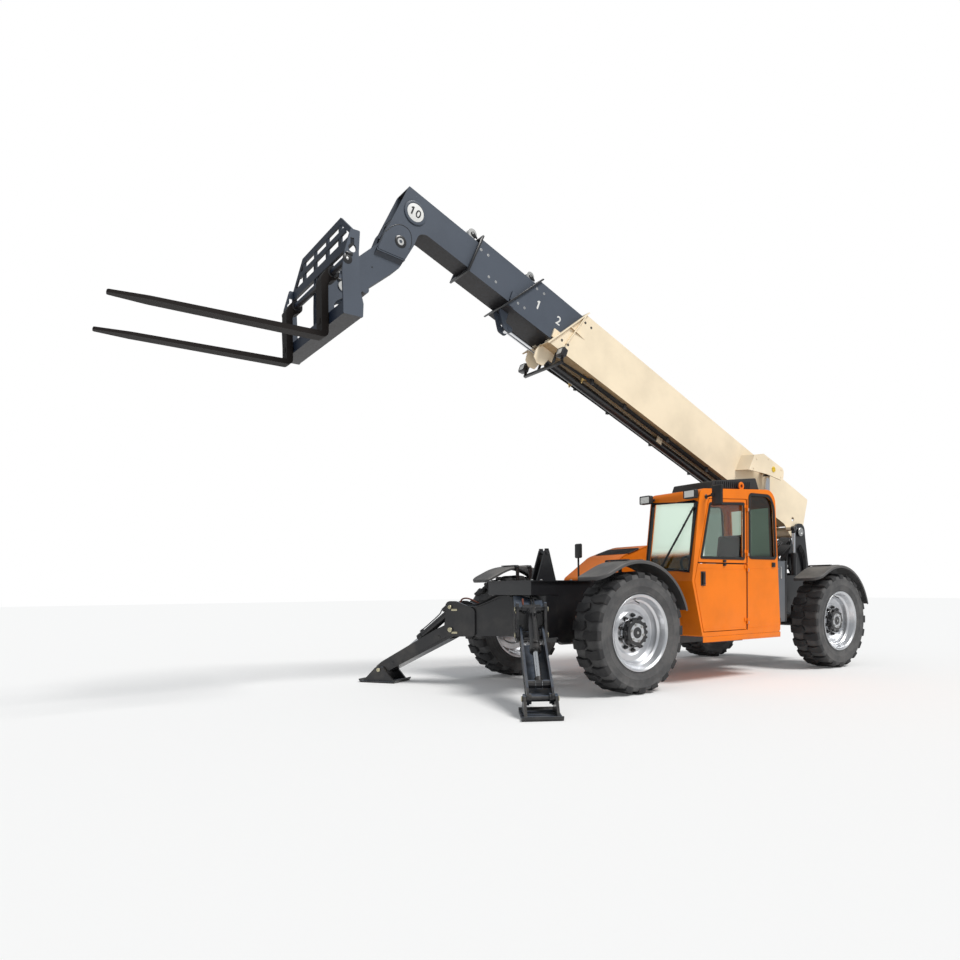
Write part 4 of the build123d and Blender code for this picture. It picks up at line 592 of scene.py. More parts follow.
    @classmethod
    def meshed(cls, place: Matrix | None = None) -> Object:
        """Turn the active curve or text into a mesh."""
        cls.pick(bpy.context.object)
        bpy.ops.object.convert(target="MESH")
        return cls.settle(bpy.context.object, place)

    @classmethod
    def hose(cls, points: Sequence[Point], radius: float, sides: int = 3) -> Object:
        """Pipe along a smooth run of points."""
        cls.clear()
        bpy.ops.curve.primitive_nurbs_path_add()
        data = bpy.context.object.data
        data.splines.clear()
        spline = data.splines.new("NURBS")
        spline.points.add(len(points) - 1)
        for spot, point in zip(spline.points, points):
            spot.co = (*point, 1.0)
        spline.order_u = 3
        spline.use_endpoint_u = True
        spline.resolution_u = 6
        data.bevel_depth = radius
        data.bevel_resolution = sides
        data.use_fill_caps = True
        return cls.meshed()

    @classmethod
    def letters(cls, text: str, size: float, place: Matrix) -> Object:
        """Flat numerals, centred on a place whose X runs along them and whose Z faces out."""
        cls.clear()
        bpy.ops.object.text_add()
        data = bpy.context.object.data
        data.body = text
        data.size = size
        data.align_x = data.align_y = "CENTER"
        data.extrude = 0.0006
        data.offset = 0.012 * size
        return cls.meshed(place)

    @classmethod
    def copies(cls, piece: Object, places: Iterable[Matrix]) -> Object:
        """Copies of a piece, each with its own mesh, joined into one; the first piece is used up."""
        made = []
        for place in places:
            twin = piece.copy()
            twin.data = piece.data.copy()
            bpy.context.collection.objects.link(twin)
            made.append(cls.settle(twin, place))
        bpy.data.objects.remove(piece)
        return cls.join(made)

    @classmethod
    def join(cls, parts: Sequence[Object]) -> Object:
        """Join parts into one object."""
        if len(parts) > 1:
            cls.pick(*parts)
            bpy.ops.object.join()
        return parts[0]

    @classmethod
    def bolt(cls, axis: Point, head: Point, washer: Point) -> Object:
        """Hexagon head on its washer, each given by height, radius and bevel."""
        return cls.join([cls.bar(ORIGIN, Vector(axis) * height, radius, sides, bevel)
                         for sides, (height, radius, bevel) in ((6, head), (20, washer))])


def along(start: Point, direction: Point) -> Matrix:
    """Place at a point whose X runs along a direction and whose Z faces up as nearly as it can."""
    x = Vector(direction).normalized()
    y = Vector((0.0, 0.0, 1.0)).cross(x).normalized()
    return framed(start, x, y, x.cross(y))


def framed(start: Point, x: Vector, y: Vector, z: Vector) -> Matrix:
    """Place at a point with three axes."""
    return Matrix.Translation(start) @ Matrix((x, y, z)).transposed().to_4x4()


def middle(node: str) -> Vector:
    """Middle of a CAD node's box."""
    low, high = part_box(node)
    return (Vector(low) + Vector(high)) / 2


def home(joint: str) -> Vector:
    """A joint's place in metres."""
    return Vector(JOINTS[joint]["pos_m"])


def axis_of(joint: str) -> Vector:
    """A joint's direction."""
    return Vector(JOINTS[joint]["axis"])


HUB = middle("tyre_front_left")
BOOM = along(home("boom_lift"), axis_of("boom_extend"))
BOOM_TURN = BOOM.to_3x3()


def at(x: float, y: float, z: float) -> Vector:
    """Point from millimetres ahead of the front axle, to the left and up."""
    return Vector((x / 1000 + HUB.x, y / 1000, z / 1000))


def on_boom(s: float, y: float, t: float) -> Vector:
    """Point from millimetres along the boom, to the left and above its pivot line."""
    return BOOM @ Vector((s / 1000, y / 1000, t / 1000))


def box(low: Point, high: Point, bevel: float, steps: int = 2) -> Object:
    """Box between two corners in millimetres."""
    return Bench.slab(at(*low), at(*high), bevel, steps)


def lump(centre: Vector, half: Point, bevel: float, steps: int = 2) -> Object:
    """Box round a middle, with its half sizes in metres."""
    return Bench.slab(centre - Vector(half), centre + Vector(half), bevel, steps)


def trace(place: Place, *points: Point) -> list[Vector]:
    """Points of a run, from millimetres."""
    return [place(*point) for point in points]


def quad(place: Place, low: Point, high: Point) -> list[Vector]:
    """Corners of a rectangle between two opposite ones that share one coordinate."""
    i, j = [k for k in range(3) if low[k] != high[k]]
    corners = []
    for a, b in ((low, low), (high, low), (high, high), (low, high)):
        corner = list(low)
        corner[i], corner[j] = a[i], b[j]
        corners.append(place(*corner))
    return corners


def pipe(place: Place, radius: float, *points: Point, sides: int = 3) -> Object:
    """Pipe along points in millimetres."""
    return Bench.hose(trace(place, *points), radius, sides)


def disc(radius: float, lip: float, inner: float, height: float, hole: float = 0.0, top: float = 0.0) -> list:
    """Profile of a bevelled disc, or of a ring if it has a hole."""
    return [(hole, 0), (radius, 0), (radius, lip), (inner, height), (top or hole, height)]


def dished(radius: float, lip: float, inner: float, height: float, rim: float, floor: float, low: float) -> list:
    """Profile of a pin's cap with a sunk middle."""
    return [(0, 0), (radius, 0), (radius, lip), (inner, height), (rim, height), (floor, low), (0, low)]


def both(place: Place, profile: Sequence[Point], spot: Point, steps: int) -> list[Object]:
    """Round pieces that face out at a spot and at its mirror image."""
    x, y, z = spot
    return [Bench.cap(profile, place(x, side * y, z), (0, side, 0), steps) for side in SIDES]


# ------------------------------------------------------------------ wheels
@dataclass
class Wheel:
    """One tyre with its lugs, and the nuts and hub cover on its rim."""

    corner: str
    lugs: int = 20
    floor: float = 0.588
    crown: float = 0.6208
    half: float = 0.1892
    face: float = 0.1215

    def __post_init__(self) -> None:
        """Read the wheel's middle and its outer side."""
        self.middle = middle(f"tyre_{self.corner}")
        self.side = 1.0 if self.middle.y > 0 else -1.0

    def piece(self, finish: Finish, name: str, *parts: Object, **settings: object) -> Object:
        """Finish a piece that turns with the wheel."""
        return finish.piece(f"{name}_{self.corner}", *parts, body=f"wheel_{self.corner}", **settings)

    def carcass(self) -> None:
        """Casing with ringed sidewalls, from the bead to the groove floor and back."""
        wall = [
            (0.3686, 0.148), (0.370, 0.1645), (0.398, 0.1645), (0.4005, 0.169), (0.404, 0.1712), (0.410, 0.1712),
            (0.4135, 0.169), (0.420, 0.1712), (0.440, 0.1795), (0.466, 0.1853), (0.469, 0.1878), (0.474, 0.1886),
            (0.478, 0.1872), (0.481, 0.1868), (0.520, 0.1880), (0.541, 0.1872), (0.5445, 0.1895), (0.550, 0.1897),
            (0.5535, 0.1872), (0.568, 0.1840), (0.582, 0.1770), (0.5905, 0.1640), (self.floor, 0.140),
            (self.floor + 0.002, 0.050),
        ]
        profile = wall + [(r, -y) for r, y in reversed(wall)]
        casing = self.piece(Finish.WALL, "tyre_casing", Bench.turned(profile, self.middle, 96), angle=50)
        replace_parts(casing, f"tyre_{self.corner}")

    def lug(self) -> Object:
        """One lug of the outer row, wrapped round the casing at its top."""
        plan = [(-0.046, 0.006), (0.020, -0.016), (0.054, 0.030), (0.066, 0.082), (0.058, 0.136), (0.056, 0.165),
                (0.056, self.half), (0.004, self.half), (-0.050, self.half), (-0.050, 0.165), (-0.046, 0.130),
                (-0.034, 0.086)]
        obj = Bench.sheet([(u, y, 0.0) for u, y in plan], (0, 0, 1.0))
        for vertex in obj.data.vertices:
            u, y, top = vertex.co
            edge = max(0.0, abs(y) - 0.132) / 0.058
            if top > 0.5:
                radius, squeeze = self.crown - 0.0185 * edge**2.2, 0.93
            else:
                radius, squeeze = self.floor - 0.006 - 0.036 * edge**1.3, 1.0
            angle = u * squeeze / self.crown
            lean = y if top > 0.5 or abs(y) < 0.15 else y - 0.0012
            vertex.co = (radius * math.sin(angle), lean, radius * math.cos(angle))
        Bench.applied(obj, "BEVEL", width=0.0045, segments=2, limit_method="ANGLE")
        return Bench.edit(obj, Bench.outward)

    def tread(self) -> None:
        """Both rows of lugs, half a pitch apart."""
        rows = []
        for side in SIDES:
            lug = self.lug()
            if side < 0:
                for vertex in lug.data.vertices:
                    vertex.co.y *= -1
                Bench.edit(lug, Bench.outward)
            rows.append(Bench.copies(lug, self.ring(0.0, self.lugs, 0.0, 0.0 if side > 0 else 0.5)))
        self.piece(Finish.TREAD, "tyre_lugs", *rows, angle=40)

    def ring(self, radius: float, count: int, across: float, phase: float) -> list[Matrix]:
        """Places evenly round the wheel's middle."""
        return [Matrix.Translation(self.middle) @ Matrix.Rotation(math.tau / count * (k + phase), 4, "Y")
                @ Matrix.Translation((0, across * self.side, radius)) for k in range(count)]

    def hub(self) -> None:
        """Hub cover with bolts, lobes round it, the wheel nuts and the valve stem."""
        y, face = self.side, self.face

        def peg(low: float, high: float, radius: float, sides: int, bevel: float) -> Object:
            """Bar along the axle."""
            return Bench.bar((0, low * y, 0), (0, high * y, 0), radius, sides, bevel)

        profile = [(0.0, 0.100), (0.150, 0.058), (0.1515, 0.064), (0.1515, 0.082), (0.147, 0.088), (0.135, 0.090),
                   (0.133, 0.094), (0.133, 0.116), (0.129, face), (0.058, face), (0.056, face + 0.003),
                   (0.0, face + 0.003)]
        cover = Bench.turned([(r, a * y) for r, a in profile], self.middle, 64)
        lobes = Bench.copies(peg(0, 0.052, 0.0205, 16, 0.003), self.ring(0.138, 10, 0.062, 0.5))
        self.piece(Finish.SATIN, "hub_cover", cover, lobes, angle=30)
        bolt = Bench.bolt((0, y, 0), (0.013, 0.0125, 0.0015), (0.003, 0.017, 0.0008))
        bolts = Bench.copies(bolt, self.ring(0.084, 6, face, 0.25))
        plug = Bench.copies(peg(0, 0.008, 0.015, 6, 0.0015), self.ring(0.0, 1, face + 0.003, 0.0))
        self.piece(Finish.STEEL, "hub_bolts", bolts, plug, angle=30)
        nut = Bench.join([peg(0.004, 0.026, 0.0195, 6, 0.002), peg(0, 0.006, 0.0235, 24, 0.0015),
                          peg(0.02, 0.040, 0.0105, 16, 0.002)])
        self.piece(Finish.SATIN, "wheel_nuts", Bench.copies(nut, self.ring(0.178, 10, 0.048, 0.0)), angle=30)
        stem = Bench.bar(self.middle + Vector((0, 0.085 * y, 0.325)), self.middle + Vector((0, 0.150 * y, 0.300)),
                         0.006, 12, 0.001)
        self.piece(Finish.TRIM, "valve", stem, slot="black_paint")

    def build(self) -> None:
        """Build the wheel's pieces."""
        self.carcass()
        self.tread()
        self.hub()


# ------------------------------------------------------------------ cab
@dataclass
class Cab:
    """Windscreen border, wiper, seals, latches, lamps, mirrors, roof intake and seat of the cab."""

    face_x: float = -824.0
    face_z: float = 1149.0
    slope: float = 0.1365
    side: float = 1160.0
    border: tuple = ((452, 2066), (1150, 2012), (1114, 1240), (452, 1326))
    opening: tuple = ((506, 2038), (1091, 2038), (1091, 1264), (506, 1264))
    wiper_tip: tuple = (1110, 1954)
    wiper_foot: tuple = (708, 1300)
    quarter: tuple = ((-1812, 1406), (-1812, 2176), (-2226, 2184), (-2318, 2056), (-2362, 1406))
    lamp_y: tuple = (415.0, 1086.0)
    vent_fins: int = 17

    def front(self, y: float, z: float, out: float = 0.0) -> Vector:
        """Point of the sloping front, out from it by millimetres."""
        return at(self.face_x - (z - self.face_z) * self.slope + out, y, z)

    def windscreen(self) -> None:
        """Black border round the glass, with its rubber lip."""
        outer, inner = self.border, self.opening
        strips = [Bench.sheet([self.front(y, z, 0.6) for y, z in (outer[a - 1], outer[a], inner[a], inner[a - 1])],
                              (0.004, 0, 0)) for a in (1, 2, 3, 0)]
        Finish.GLOSS.piece("windscreen_border", *strips, angle=30)
        lip = Bench.sheet([self.front(y, z, 1.0) for y, z in outer], (0.009, 0, 0), 0.05, strip=0.012)
        Finish.GASKET.piece("windscreen_lip", lip)

    def wiper(self) -> None:
        """Wiper arm, blade and motor cover."""
        foot = self.front(*self.wiper_foot, 20)
        tip = self.front(*self.wiper_tip, 24)
        run = tip - foot
        across = Vector((0, 1, 0)) - run * (run.y / run.length_squared)
        across.normalize()
        knee, heel = foot + run * 0.55, foot + run * 0.38
        arm = Bench.sheet([foot - across * 0.018, foot + across * 0.018, knee + across * 0.010,
                           knee - across * 0.010], (0.008, 0, 0), 0, 0.002)
        blade = Bench.sheet([heel - across * 0.016, heel + across * 0.006, tip + across * 0.006,
                             tip - across * 0.016], (-0.012, 0, 0), 0, 0.002)
        link = Bench.bar(knee - run * 0.05, knee + run * 0.16, 0.0045, 10)
        spine = Bench.bar(foot + run * 0.37, tip + run * 0.005, 0.0055, 10)
        clips = [Bench.slab(foot + run * k - Vector((0.008, 0.012, 0.012)),
                            foot + run * k + Vector((0.010, 0.012, 0.012)), 0.004) for k in (0.48, 0.71, 0.93)]
        boss = Bench.cap([(0, 0), (0.026, 0), (0.026, 0.014), (0.018, 0.024), (0, 0.026)],
                         self.front(*self.wiper_foot, 1), (1, 0, 0.13))
        Finish.TRIM.piece("wiper", arm, link, blade, spine, boss, *clips)
        Finish.TRIM.piece("wiper_motor_cover", Bench.slab(self.front(640, 1188), self.front(790, 1270, 34), 0.014, 3))

    def seals(self) -> None:
        """Gaskets round the side windows and the doorway."""
        def gasket(y: float, corners: Sequence[Point], out: float, corner: float, width: float) -> Object:
            """Gasket round a side window."""
            return Bench.sheet([at(x, y, z) for x, z in corners], (0, out, 0), corner, strip=width)

        quarter = gasket(self.side, self.quarter, 0.006, 0.06, 0.034)
        inner = gasket(430, ((-998, 1286), (-1070, 2066), (-2250, 2116), (-2304, 1286)), -0.006, 0.06, 0.026)
        Finish.GASKET.piece("side_window_gaskets", quarter, inner)
        door = gasket(self.side, ((-1740, 1392), (-956, 1392), (-1112, 2020), (-1740, 2058)), 0.006, 0.03, 0.030)
        Finish.GASKET.piece("door_window_gasket", door, body="upper_door")

    def fittings(self) -> None:
        """Door handle, latches, seals and panel joints of the cab's side, and hinge bolts."""
        y = self.side
        extras = {
            "door_handle": Bench.cap(disc(0.010, 0.005, 0.008, 0.007), at(-1005, y + 26, 1124), (0, 1, 0), 20),
            "side_latch": Bench.cap([(0, 0), (0.013, 0), (0.013, 0.006), (0, 0.007)], at(-2290, y + 16, 1344),
                                    (0, 1, 0), 20),
        }
        # each row: x, z and how far out from the cab's side, from and to, then bevel and steps
        for finish, body, name, angle, rows in (
                (Finish.GASKET, "chassis", "doorway_seal", 35, ((-1789, -1779, 583, 1348, 0, 5, 0.002, 2),
                                                                (-1789, -1779, 1356, 2100, 0, 5, 0.002, 2))),
                (Finish.TRIM, "lower_door", "door_handle_cup", 35, ((-1044, -966, 1096, 1254, -1, 5, 0.004, 3),)),
                (Finish.SATIN, "lower_door", "door_handle", 35, ((-1024, -986, 1106, 1244, 0, 26, 0.009, 3),)),
                (Finish.GASKET, "lower_door", "waist_seal", 35, ((-1745, -900, 1346, 1357, -34, -8, 0.003, 2),)),
                (Finish.TRIM, "lower_door", "waist_latch", 35, ((-1392, -1346, 1318, 1346, -1, 5, 0.002, 2),
                                                                (-1384, -1352, 1322, 1342, 3, 24, 0.006, 3))),
                (Finish.TRIM, "upper_door", "waist_catch", 35, ((-1392, -1346, 1360, 1386, -1, 14, 0.004, 2),)),
                (Finish.TRIM, "chassis", "side_latch", 35, ((-2322, -2262, 1316, 1372, -1, 16, 0.006, 3),)),
                (Finish.ORANGE, "chassis", "side_panel_folds", 30, ((-2408, -1806, 1294, 1300, -1, 1.6, 0.0012, 2),
                                                                    (-2408, -1806, 604, 609, -1, 1.6, 0.0012, 2),
                                                                    (-1806, -1801, 604, 1300, -1, 1.6, 0.0012, 2),
                                                                    (-2440, -1000, 470, 532, -4, 1.6, 0.004, 2))),
                (Finish.ORANGE, "lower_door", "door_panel_folds", 30, ((-1760, -905, 1284, 1290, -1, 1.8, 0.0012, 2),
                                                                       (-1760, -1012, 616, 622, -1, 1.8, 0.0012, 2))),
        ):
            made = [box((x0, y + y0, z0), (x1, y + y1, z1), bevel, steps)
                    for x0, x1, z0, z1, y0, y1, bevel, steps in rows]
            finish.piece(name, *made, *([extras[name]] if name in extras else []), body=body, angle=angle,
                         slot="cab_plastic" if finish is Finish.SATIN else "")
        head = Bench.bolt((0, 1, 0), (0.006, 0.0075, 0.001), (0.002, 0.010, 0.0006))
        spots = [Matrix.Translation(at(-1804, y + 8, z + dz)) for z in (650, 1260, 1440, 1960) for dz in (9, 25)]
        Finish.STEEL.piece("hinge_bolts", Bench.copies(head, spots), angle=30)

    def lamps(self) -> None:
        """Roof work lamps, lifting eye and tail lamps."""
        shells, lenses, frames = [], [], []
        for y in self.lamp_y:
            foot = max(y, 482)
            shells += [box((-932, y - 82, 2050), (-868, y + 82, 2148), 0.018, 3),
                       box((-953, foot - 16, 2084), (-926, foot + 16, 2108), 0.004)]
            shells += [box((-938, y - 62, z), (-928, y + 62, z + 6), 0.002) for z in range(2062, 2147, 17)]
            frames.append(Bench.sheet(quad(at, (-869, y - 81, 2051), (-869, y + 81, 2147)), (0.008, 0, 0), 0.014,
                                      strip=0.010))
            lenses.append(box((-872, y - 70, 2062), (-863, y + 70, 2136), 0.004, 3))
        Finish.TRIM.piece("roof_lamp_housings", *shells, *frames)
        Finish.LENS.piece("roof_lamp_lenses", *lenses)
        eye = Bench.turned([(0.022, -0.008), (0.044, -0.008), (0.048, -0.004), (0.048, 0.004), (0.044, 0.008),
                            (0.022, 0.008)], at(-1758, 1100, 2256), 40)
        Finish.ORANGE.piece("cab_lifting_eye", eye, box((-1800, 1088, 2208), (-1716, 1112, 2222), 0.003))
        tails = ((-2475, 1110, 660), (-2912, -1110, 740))
        for finish, name, x0, x1, w, h, bevel in ((Finish.TRIM, "tail_lamp_housings", 0, 31, 35, 40, 0.006),
                                                  (Finish.TAIL, "tail_lamp_lenses", -2, 6, 28, 33, 0.003)):
            finish.piece(name, *[box((x + x0, y - w, z - h), (x + x1, y + w, z + h), bevel, 3) for x, y, z in tails])

    def mirrors(self) -> None:
        """Both mirrors, each a rounded housing with its glass on an arm."""
        parts = [
            self.housing(at(-1070, 1246, 1966), at(-1032, 1389, 2189)),
            pipe(at, 0.0115, (-1060, 1164, 2075), (-1059, 1190, 2076), (-1054, 1225, 2082), (-1052, 1262, 2086)),
            Bench.cap(disc(0.026, 0.004, 0.014, 0.012), at(-1060, 1160.4, 2075), (0, 1, 0), 28),
            box((-1066, 1248, 2066), (-1028, 1284, 2104), 0.008, 3),
            self.housing(at(-895, -864, 1471), at(-852, -736, 1659)),
            pipe(at, 0.0125, (-880, -800, 1004), (-880, -800, 1100), (-878, -800, 1300), (-876, -800, 1480)),
            box((-904.6, -830, 1000), (-867, -770, 1080), 0.006),
        ]
        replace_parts(Finish.TRIM.piece("side_mirrors", *parts, angle=40), "mirrors_and_lamps")
        Finish.MIRROR.piece("mirror_panes", box((-1071, 1256, 1978), (-1067, 1379, 2177), 0.0018),
                            box((-896, -854, 1482), (-892, -746, 1648), 0.0018))

    def housing(self, low: Vector, high: Vector) -> Object:
        """Mirror's shell, crowned towards the front."""
        obj = Bench.slab(low, high, 0.018, 4)
        centre = (low + high) / 2
        half = (high - low) / 2
        for vertex in obj.data.vertices:
            u = (vertex.co.y - centre.y) / half.y
            v = (vertex.co.z - centre.z) / half.z
            if vertex.co.x > centre.x:
                vertex.co.x -= (u * u + v * v) * 0.006
        return obj

    def roof(self) -> None:
        """Louvred intake over the cab, replacing its plain housing."""
        low, high = (Vector(corner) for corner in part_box("roof_vent"))

        def base(x: float) -> float:
            """Height of the cab's roof under the intake."""
            return low.z + (high.x - x) * 0.0658

        rows = ((high.x - 0.004, 0.002), (high.x - 0.052, 0.104), (low.x + 0.075, 0.148), (low.x + 0.004, 0.002))
        shell = Bench.sheet([(x, low.y + 0.002, base(x) + z) for x, z in rows], (0, high.y - low.y - 0.012, 0),
                            0.012, 0.006)
        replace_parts(Finish.TRIM.piece("roof_intake", shell, angle=30), "roof_vent")
        fins = []
        step = (high.x - low.x - 0.26) / self.vent_fins
        for k in range(self.vent_fins):
            x = high.x - 0.090 - k * step
            for across in (high.y - 0.0105, low.y + 0.0005):
                fins.append(Bench.sheet([(x - step * back, across, base(x) + z) for back, z in
                                         ((0, 0.018), (0.55, 0.018), (0.75, 0.098), (0.2, 0.098))],
                                        (0, 0.009, 0), 0, 0.0015))
        Finish.SATIN.piece("roof_intake_fins", *fins, angle=30, slot="cab_plastic")
        lid = []
        for k in range(9):
            x = high.x - 0.12 - k * 0.075
            z = base(x) + 0.103 + (high.x - x) * 0.042
            lid.append(Bench.slab((x - 0.045, low.y + 0.07, z - 0.004), (x, high.y - 0.07, z + 0.004), 0.003))
        Finish.SATIN.piece("roof_intake_slats", *lid, angle=30, slot="cab_plastic")

    def pad(self, low: Vector, high: Vector, lean: float, name: str) -> None:
        """Crowned cushion: a soft box swelled by cloth pressure.

        Args:
            low: lowest corner.
            high: highest corner.
            lean: how far the top moves back, in metres.
            name: the piece's name.
        """
        obj = Bench.slab(low + Vector((0.008, 0.008, 0.004)), high - Vector((0.008, 0.008, 0.010)), 0.03, 4)
        Bench.edit(obj, lambda: bpy.ops.mesh.subdivide(number_cuts=5))
        for vertex in obj.data.vertices:
            vertex.co.x -= lean * (vertex.co.z - low.z) / (high.z - low.z)
        obj.data.remesh_voxel_size = 0.006
        Bench.pick(obj)
        bpy.ops.object.voxel_remesh()
        start = [v.co.copy() for v in obj.data.vertices]
        cloth = obj.modifiers.new("swell", "CLOTH")
        cloth.settings.use_pressure = True
        cloth.settings.uniform_pressure_force = 4.0
        cloth.settings.effector_weights.gravity = 0.0
        scene = bpy.context.scene
        for step in range(1, 21):
            scene.frame_set(step)
        seen = obj.evaluated_get(bpy.context.evaluated_depsgraph_get())
        ends = [v.co.copy() for v in seen.data.vertices]
        obj.modifiers.remove(cloth)
        scene.frame_set(1)
        for vertex, a, b in zip(obj.data.vertices, start, ends):
            move = b - a
            vertex.co = a + (move.normalized() * SWELL if move.length > SWELL else move)
        Bench.applied(obj, "SUBSURF", levels=1, render_levels=1)
        cushion = Finish.CLOTH.piece(name, obj, angle=60)
        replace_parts(cushion, "cab_seat")

    def build(self) -> None:
        """Build the cab's pieces."""
        self.windscreen()
        self.wiper()
        self.seals()
        self.fittings()
        self.lamps()
        self.mirrors()
        self.roof()
        self.pad(at(-1880, 610, 1021), at(-1430, 1050, 1130), 0.0, "seat_cushion")
        self.pad(at(-1890, 620, 1141), at(-1802, 1040, 1720), 0.092, "seat_backrest")


# ------------------------------------------------------------------ boom
@dataclass
class Boom:
    """Numerals, wear-pad bolts, sheaves, guards, pin caps and hoses of the boom."""

    pad_bolts: tuple = (
        ("section_3", 152, ((6029, 399), (5940, 401), (5853, 201), (5763, 206))),
        ("section_2", 180, ((5308, 441), (5210, 449), (5462, 149), (5374, 153))),
    )
    base_holes: tuple = ((4618, 476), (4523, 474), (4835, 104), (4743, 105))
    flagged_one: tuple = ((-0.07, -0.36), (0.07, -0.36), (0.07, 0.36), (-0.04, 0.36), (-0.20, 0.22), (-0.14, 0.13),
                          (-0.07, 0.19))
    head_rim: tuple = ((6944, -96), (6915, -14), (6875, 42), (6832, 72), (6776, 81), (6735, 66), (6706, 28),
                       (6688, -18), (6678, -66), (6688, -96))

    def facing(self, s: float, y: float, t: float) -> Matrix:
        """Place on a side of the boom: X runs down the boom, Z faces out."""
        sign = math.copysign(1.0, y)
        out, run = Vector((0, sign, 0)), BOOM_TURN @ Vector((-sign, 0, 0))
        return framed(on_boom(s, y, t), run, out.cross(run), out)

    def digits(self, text: str, size: float, place: Matrix) -> Object:
        """Numerals with a flagged one."""
        wide = len(text) > 1
        made = []
        if text.startswith("1"):
            points = [(x * size - (0.30 * size if wide else 0.0), y * size, 0) for x, y in self.flagged_one]
            made.append(Bench.settle(Bench.sheet(points, (0, 0, 0.0012)), place))
        rest = text.removeprefix("1")
        if rest:
            made.append(Bench.letters(rest, size, place @ Matrix.Translation((0.26 * size if wide else 0.0, 0, 0))))
        return Bench.join(made)

    def numerals(self) -> None:
        """Section numbers on the sides, and the plate on the head."""
        for text, s, t in (("1", 5231, 291), ("2", 4937, 290)):
            for hand, side in HANDS:
                Finish.WHITE.piece(f"section_number_{text}_{hand}",
                                   self.digits(text, 0.135, self.facing(s, side * 180.4, t)), body="section_2")
        for hand, side in HANDS:
            spot, way = on_boom(6758, side * 133, 269), (0, side, 0)
            plate = Bench.cap(disc(0.086, 0.002, 0.084, 0.003), spot, way, 64)
            Finish.WHITE.piece(f"head_disc_{hand}", plate, body="section_4")
            Finish.SATIN.piece(f"head_number_{hand}", self.digits("10", 0.112, self.facing(6758, side * 136.2, 269)),
                               body="section_4")
            ring = Bench.cap(disc(0.112, 0.002, 0.109, 0.0035, 0.088, 0.090), spot, way, 64)
            Finish.SLATE.piece(f"head_ring_{hand}", ring, body="section_4")

    def bolts(self) -> None:
        """Flush screws of the wear pads, and flat black rings that paint the shade inside the pad holes of the outer
        section.
        """
        screw = disc(0.014, 0.0002, 0.013, 0.00028, 0.0045)
        for body, y, spots in self.pad_bolts:
            Finish.STEEL.piece(f"pad_screws_{body}",
                               *[part for s, t in spots for part in both(on_boom, screw, (s, y, t), 24)], body=body)
        # Painted shade: flat black rings stand in for the dark inside of the pad holes.
        hole = [(0.003, 0), (0.0155, 0), (0.0155, 0.0004), (0.014, 0.001), (0.012, 0.0004), (0.003, 0.0004)]
        Finish.SATIN.piece("pad_hole_shade_base", *[part for s, t in self.base_holes
                                               for part in both(on_boom, hole, (s, 210, t), 24)], body="boom_base")

    def collars(self) -> None:
        """Lips and gusset tips round the mouths."""
        for body, half, low, high, top, bottom in (("section_2", 180, 55, 545, 5308, 5590),
                                                   ("section_3", 152, 115, 505, 6075, 6095)):
            slope = (bottom - top) / (high - low)
            parts = []
            for side in SIDES:
                edge = trace(on_boom, *[(top + (high - t) * slope + d, side * (half + 28.4), t) for t, d in
                                        ((high + 28, 2), (low - 28, 2), (low - 28, -18), (high + 28, -18))])
                parts.append(Bench.sheet(edge, (0, -side * 0.030, 0), 0, 0.002))
            for t0, t1 in ((high + 28.4, high - 2), (low + 2, low - 28.4)):
                a = top + (high - t0) * slope
                edge = quad(on_boom, (a + 2, -half - 28, t0), (a - 18, half + 28, t0))
                down = BOOM_TURN @ Vector(((t0 - t1) * slope / 1000, 0, (t1 - t0) / 1000))
                parts.append(Bench.sheet(edge, down, 0, 0.002))
            Finish.SATIN.piece(f"collar_{body}", *parts, body=body, angle=30)

    def sheaves(self) -> None:
        """Hose and chain sheaves above the mouths, between small cheeks."""
        groove = [(0.010, -0.013), (0.048, -0.013), (0.051, -0.011), (0.051, -0.008), (0.042, -0.003)]
        groove += [(r, -y) for r, y in reversed(groove)]
        for body, s, t in (("section_3", 6140, 556), ("section_2", 5372, 604)):
            wheels = [Bench.turned(groove, on_boom(s, y, t), 44) for y in (-46, -16, 16, 46)]
            axle = [(0, 0), (0.009, 0), (0.009, 0.138), (0, 0.138)]
            wheels.append(Bench.cap(axle, on_boom(s, -69, t), (0, 1, 0), 20))
            cheeks = [Bench.sheet(trace(on_boom, *[(s + ds, y, t + dt) for ds, dt in
                                                   ((-64, -30), (6, -18), (20, 4), (6, 20), (-16, 16), (-64, -8))]),
                                  (0, 0.005, 0), 0.008, 0.001) for y in (-66, 62)]
            Finish.STEEL.piece(f"sheaves_{body}", *wheels, body=body, angle=30)
            Finish.SATIN.piece(f"sheave_cheeks_{body}", *cheeks, body=body, angle=30)

    def strips(self) -> None:
        """Flat steel bands along the tops of the inner sections."""
        for body, s0, s1, t in (("section_4", 2200, 6640, 467.5), ("section_3", 1700, 6040, 505.5)):
            bands = [Bench.sheet(quad(on_boom, (s0, y, t), (s1, y + 18, t)), BOOM_TURN @ Vector((0, 0, 0.004)),
                                 0, 0.001) for y in (-22, 4)]
            Finish.STEEL.piece(f"extension_bands_{body}", *bands, body=body, angle=30)

